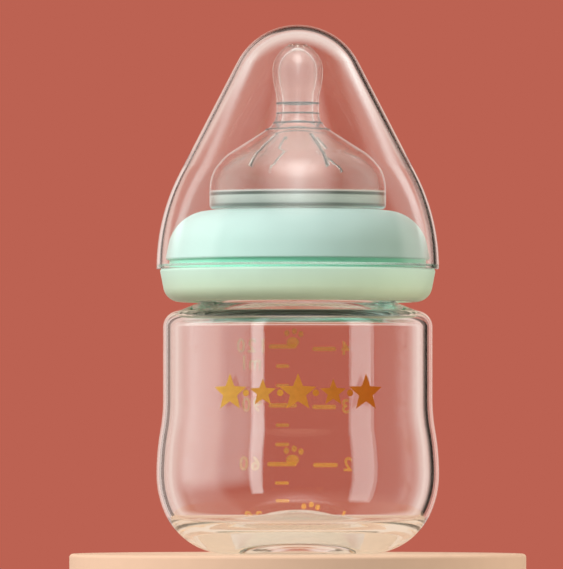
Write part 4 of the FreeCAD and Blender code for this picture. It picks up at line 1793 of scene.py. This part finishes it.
@dataclass
class Studio:
    """The pale floor, the soft light, the plain backdrop and the camera."""

    floor_radius: float = 52.0
    floor_front: float = 50.0
    floor_thickness: float = 60.0
    floor_edge: float = 0.8
    floor_contact: float = 0.03
    floor_columns: int = 180
    # The colour under the foot is painted light, lighter than the open floor.
    floor_shaded: tuple = shade(236, 206, 178)
    floor_open: tuple = shade(233, 194, 165)
    shade_start: float = 16.0
    shade_end: float = 26.0
    camera_distance: float = 2050.0
    camera_height: float = 19.0
    aim_aside: float = -3.7
    aim_height: float = 61.3
    view_height: float = 129.5
    sensor: float = 36.0
    bounces: int = 96
    glow_height: float = 56.0
    glow_reach: float = 34.0
    mirrored_once: float = 1.5
    nearest_walls: float = 2.5
    two_walls: int = 4
    often_mirrored: int = 4
    middle_across: tuple = (-0.25, -0.15)
    crown_up: tuple = (0.16, 0.24)
    crown_along: tuple = (0.93, 0.95)
    horizon_up: tuple = (-0.5, -0.3)
    behind_along: tuple = (0.0, -0.5)
    aside_along: tuple = (0.78, 0.7)
    right_wall: tuple = (
        (0.52, Tone.DIM), (0.6, Tone.PALE), (0.78, Tone.PALE), (0.86, Tone.ROSE), (0.88, Tone.ROSE),
        (0.895, Tone.FLAG), (0.969, Tone.FLAG), (0.975, Tone.BLUSH), (0.99, Tone.BLUSH), (0.996, Tone.BACKDROP))
    left_wall: tuple = (
        (0.3, Tone.DIM), (0.38, Tone.PALE), (0.75, Tone.PALE), (0.86, Tone.ROSE), (0.922, Tone.ROSE),
        (0.926, Tone.FLAG), (0.953, Tone.FLAG), (0.958, Tone.BRIGHT), (0.99, Tone.BLUSH), (0.996, Tone.BACKDROP))
    strips: tuple = (
        (0.3, Tone.DIM), (0.4, Tone.PALE), (0.78, Tone.PALE), (0.86, Tone.BACKDROP), (0.95, Tone.BACKDROP),
        (0.96, Tone.BRIGHT), (0.99, Tone.BLUSH), (0.996, Tone.BACKDROP))
    plain: tuple = (
        (0.3, Tone.DIM), (0.4, Tone.PALE), (0.7, Tone.PALE), (0.85, Tone.BACKDROP), (1.0, Tone.BACKDROP))
    softboxes: tuple = (
        Softbox("left_strip", -34.6, 12.0, 1.1, 0.21, 1.6, 4.6, Use.REFLECTION, COOL, ("bottle_glass",)),
        Softbox("left_panel", -75.0, 13.0, 1.1, 2.4, 1.5, 2.4, Use.REFLECTION, COOL, ("bottle_glass",), 0.3),
        Softbox("right_strip", 56.5, 6.0, 1.1, 0.42, 2.0, 3.4, Use.REFLECTION, COOL, ("bottle_glass",)),
        Softbox("right_rear", 157.0, 2.0, 1.1, 0.17, 1.6, 0.5, Use.REFLECTION, RED, ("bottle_glass",)),
        Softbox("cap_right", 127.0, 24.0, 1.1, 0.35, 1.0, 1.5, Use.REFLECTION, COOL, ("cap_dome",), 0.35),
        Softbox("cap_left", -120.0, 24.0, 1.1, 0.35, 1.0, 1.1, Use.REFLECTION, COOL, ("cap_dome",), 0.35),
        Softbox("teat_front", 0.0, 28.0, 1.1, 0.2, 1.4, 10.0, Use.REFLECTION, COOL, ("teat_silicone",)),
        Softbox("teat_left", -66.0, 20.0, 1.1, 0.6, 1.0, 2.6, Use.REFLECTION, COOL, ("teat_silicone",), 0.3),
        Softbox("teat_right", 76.0, 20.0, 1.1, 0.4, 1.0, 1.6, Use.REFLECTION, COOL, ("teat_silicone",), 0.3),
        Softbox("key", -60.0, 35.0, 1.2, 0.8, 0.8, 7.1, Use.SHADING),
        Softbox("right_bounce", 90.0, 5.0, 1.2, 0.8, 0.8, 1.6, Use.SHADING, WARM),
        Softbox("band_bounce", 50.0, 5.0, 1.2, 0.8, 0.8, 2.3, Use.SHADING, SUNNY, (
            "collar_band_ring", "teat_silicone")),
        Softbox("scale_front", 0.0, 20.0, 1.2, 0.8, 0.8, 3.6, Use.SHADING, pieces=(
            "millilitre_bars", "ounce_bars", "scale_figures")),
        Softbox("floor_fill", 90.0, 25.0, 0.45, 0.3, 0.3, 2.6, Use.SHADING, pieces=("floor",)),
    )

    def build_floor(self) -> None:
        """Make the floor: a pale round slab with a softened edge."""
        outline = Outline(0, -self.floor_thickness)
        outline.line(self.floor_radius, -self.floor_thickness)
        outline.bend((self.floor_radius, 0), (0, 0), self.floor_edge)
        outline.line(0, 0)
        paint = FloorPaint("floor paint", self.shade_start, self.shade_end, self.floor_shaded, self.floor_open)
        floor = TurnedForm().turn("floor", outline, paint, columns=self.floor_columns)
        back = self.floor_radius - self.floor_front
        floor.data.transform(Matrix.Translation((0, back * MM, self.floor_contact * MM)))

    def build_lights(self) -> None:
        """Hang the softboxes, each facing the middle of the bottle."""
        middle = Vector((0, 0, self.aim_height * MM))
        for box in self.softboxes:
            lamp = bpy.data.lights.new(box.name, "AREA")
            lamp.shape = "RECTANGLE"
            lamp.size, lamp.size_y = box.width, box.height
            lamp.color = box.colour
            lamp.energy = box.radiance * math.pi * box.width * box.height
            hung = bpy.data.objects.new(box.name, lamp)
            level = cosine(box.elevation)
            away = Vector((sine(box.azimuth) * level, -cosine(box.azimuth) * level, sine(box.elevation)))
            hung.location = middle + away * box.distance
            hung.rotation_euler = away.to_track_quat("Z", "Y").to_euler()
            hung.visible_camera = False
            hung.visible_diffuse = box.use is Use.SHADING
            hung.visible_glossy = hung.visible_transmission = box.use is Use.REFLECTION
            bpy.context.scene.collection.objects.link(hung)
            if box.pieces:
                group = bpy.data.collections.new(box.name)
                for name in box.pieces:
                    group.objects.link(bpy.data.objects[name])
                hung.light_linking.receiver_collection = group
            if box.use is Use.REFLECTION:
                self.limit(lamp, box.soft_edge)

    def limit(self, lamp: Light, soft_edge: float) -> None:
        """Let a softbox show only in the walls nearest to the viewer, and fade towards its edges.

        Args:
            lamp: The softbox's light.
            soft_edge: The share of its width and height that each edge fades over.
        """
        lamp.use_nodes = True
        graph = ShaderGraph(lamp.node_tree)
        path = graph.add("ShaderNodeLightPath").outputs
        once = graph.maths("LESS_THAN", path["Glossy Depth"], self.mirrored_once)
        near = graph.maths("LESS_THAN", path["Transmission Depth"], self.nearest_walls)
        shown = graph.maths("MULTIPLY", once, near)
        if soft_edge:
            for part in graph.split(graph.add("ShaderNodeNewGeometry").outputs["Parametric"])[:2]:
                for edge in (0.0, 1.0):
                    fade = graph.spread(part, edge, abs(edge - soft_edge), curve="SMOOTHSTEP")
                    shown = graph.maths("MULTIPLY", shown, fade)
        graph.feed(lamp.node_tree.nodes["Emission"].inputs["Strength"], shown)

    def build_backdrop(self) -> None:
        """Paint the surroundings: a plain backdrop, with pale walls and dark flags that only the glass shows."""
        world = bpy.data.worlds.new("studio")
        bpy.context.scene.world = world
        world.use_nodes = True
        graph = ShaderGraph(world.node_tree)
        path = graph.add("ShaderNodeLightPath").outputs

        def passed(kind: str, count: int) -> NodeSocket:
            """1 for light that has been bent, mirrored or scattered this often, and 0 before that."""
            return graph.spread(path[kind + " Depth"], count - 1, count)

        ways = graph.add("ShaderNodeTexCoord").outputs["Generated"]
        across, along, up = graph.split(ways)
        ahead = graph.spread(along, -1.0, 1.0)
        right, left, strips, plain = (graph.ramp(ahead, [(share, tone.value) for share, tone in wall])
                                      for wall in (self.right_wall, self.left_wall, self.strips, self.plain))
        walls = graph.mixed(graph.spread(across, *self.middle_across), left, right)
        crown = graph.maths("MULTIPLY", graph.spread(up, *self.crown_up), graph.spread(along, *self.crown_along))
        walls = graph.mixed(crown, walls, Tone.BACKDROP.value)
        walls = graph.mixed(passed("Transmission", self.two_walls), walls, strips)
        straight = graph.maths("MAXIMUM", passed("Transmission", self.two_walls + 1), path["Is Camera Ray"])
        walls = graph.mixed(straight, walls, plain)
        unmirrored = graph.maths("SUBTRACT", 1.0, passed("Glossy", 1))
        behind = graph.maths("MULTIPLY", unmirrored, graph.spread(along, *self.behind_along))
        walls = graph.mixed(behind, walls, Tone.BACKDROP.value)
        seen = graph.mixed(graph.spread(up, *self.horizon_up), Tone.GROUND.value, walls)
        light = self.lit(graph, ways, seen)
        aside = graph.maths("MULTIPLY", passed("Glossy", 2), graph.spread(along, *self.aside_along))
        light = graph.mixed(aside, light, Tone.DEEP.value)
        light = graph.mixed(passed("Glossy", self.often_mirrored), light, Tone.DEEP.value)
        light = graph.mixed(passed("Diffuse", 1), light, Tone.FILL.value)
        graph.feed(world.node_tree.nodes["Background"].inputs["Color"], light)

    def lit(self, graph: ShaderGraph, ways: NodeSocket, seen: NodeSocket) -> NodeSocket:
        """Add the soft glow above the camera to the surroundings.

        Args:
            graph: The graph that the nodes go into.
            ways: The direction that is looked in.
            seen: The surroundings without the glow.

        Returns:
            The colour's output.
        """
        middle = (0.0, -cosine(self.glow_height), sine(self.glow_height))
        near = graph.add("ShaderNodeVectorMath", {0: ways, 1: middle}, operation="DOT_PRODUCT").outputs["Value"]
        share = graph.spread(near, cosine(self.glow_reach), 1.0, curve="SMOOTHSTEP")
        return graph.mixed(share, seen, Tone.GLOW.value)

    def build_camera(self) -> None:
        """Stand the camera at the photograph's viewing angle."""
        lens = bpy.data.cameras.new("camera")
        lens.sensor_width = self.sensor
        lens.lens = self.sensor * self.camera_distance / self.view_height
        camera = bpy.data.objects.new("camera", lens)
        camera.location = Vector((self.aim_aside, -self.camera_distance, self.camera_height)) * MM
        aim = Vector((self.aim_aside, 0, self.aim_height)) * MM
        camera.rotation_euler = (aim - camera.location).to_track_quat("-Z", "Y").to_euler()
        bpy.context.scene.collection.objects.link(camera)
        bpy.context.scene.camera = camera

    def build(self) -> None:
        """Set the whole studio up."""
        self.build_floor()
        self.build_lights()
        self.build_backdrop()
        self.build_camera()
        scene = bpy.context.scene
        scene.view_settings.view_transform = "Standard"
        scene.cycles.max_bounces = self.bounces
        scene.cycles.transmission_bounces = self.bounces
        scene.cycles.glossy_bounces = self.bounces


def main() -> None:
    """Build the bottle's pieces from the glass outwards, then the studio."""
    logging.basicConfig(level=logging.INFO, format="%(message)s")
    lathe = TurnedForm()
    bottle = GlassBottle()
    teat = SiliconeTeat(bottle)
    collar = ScrewCollar(bottle, teat)
    band = CollarBand(bottle, collar)
    collar.floor_top = band.floor_top
    for piece in (bottle, teat, collar, band, DomedCap(teat, collar)):
        piece.build(lathe)
    PrintedMarks(bottle).build()
    Studio().build()


if __name__ == "__main__":
    main()
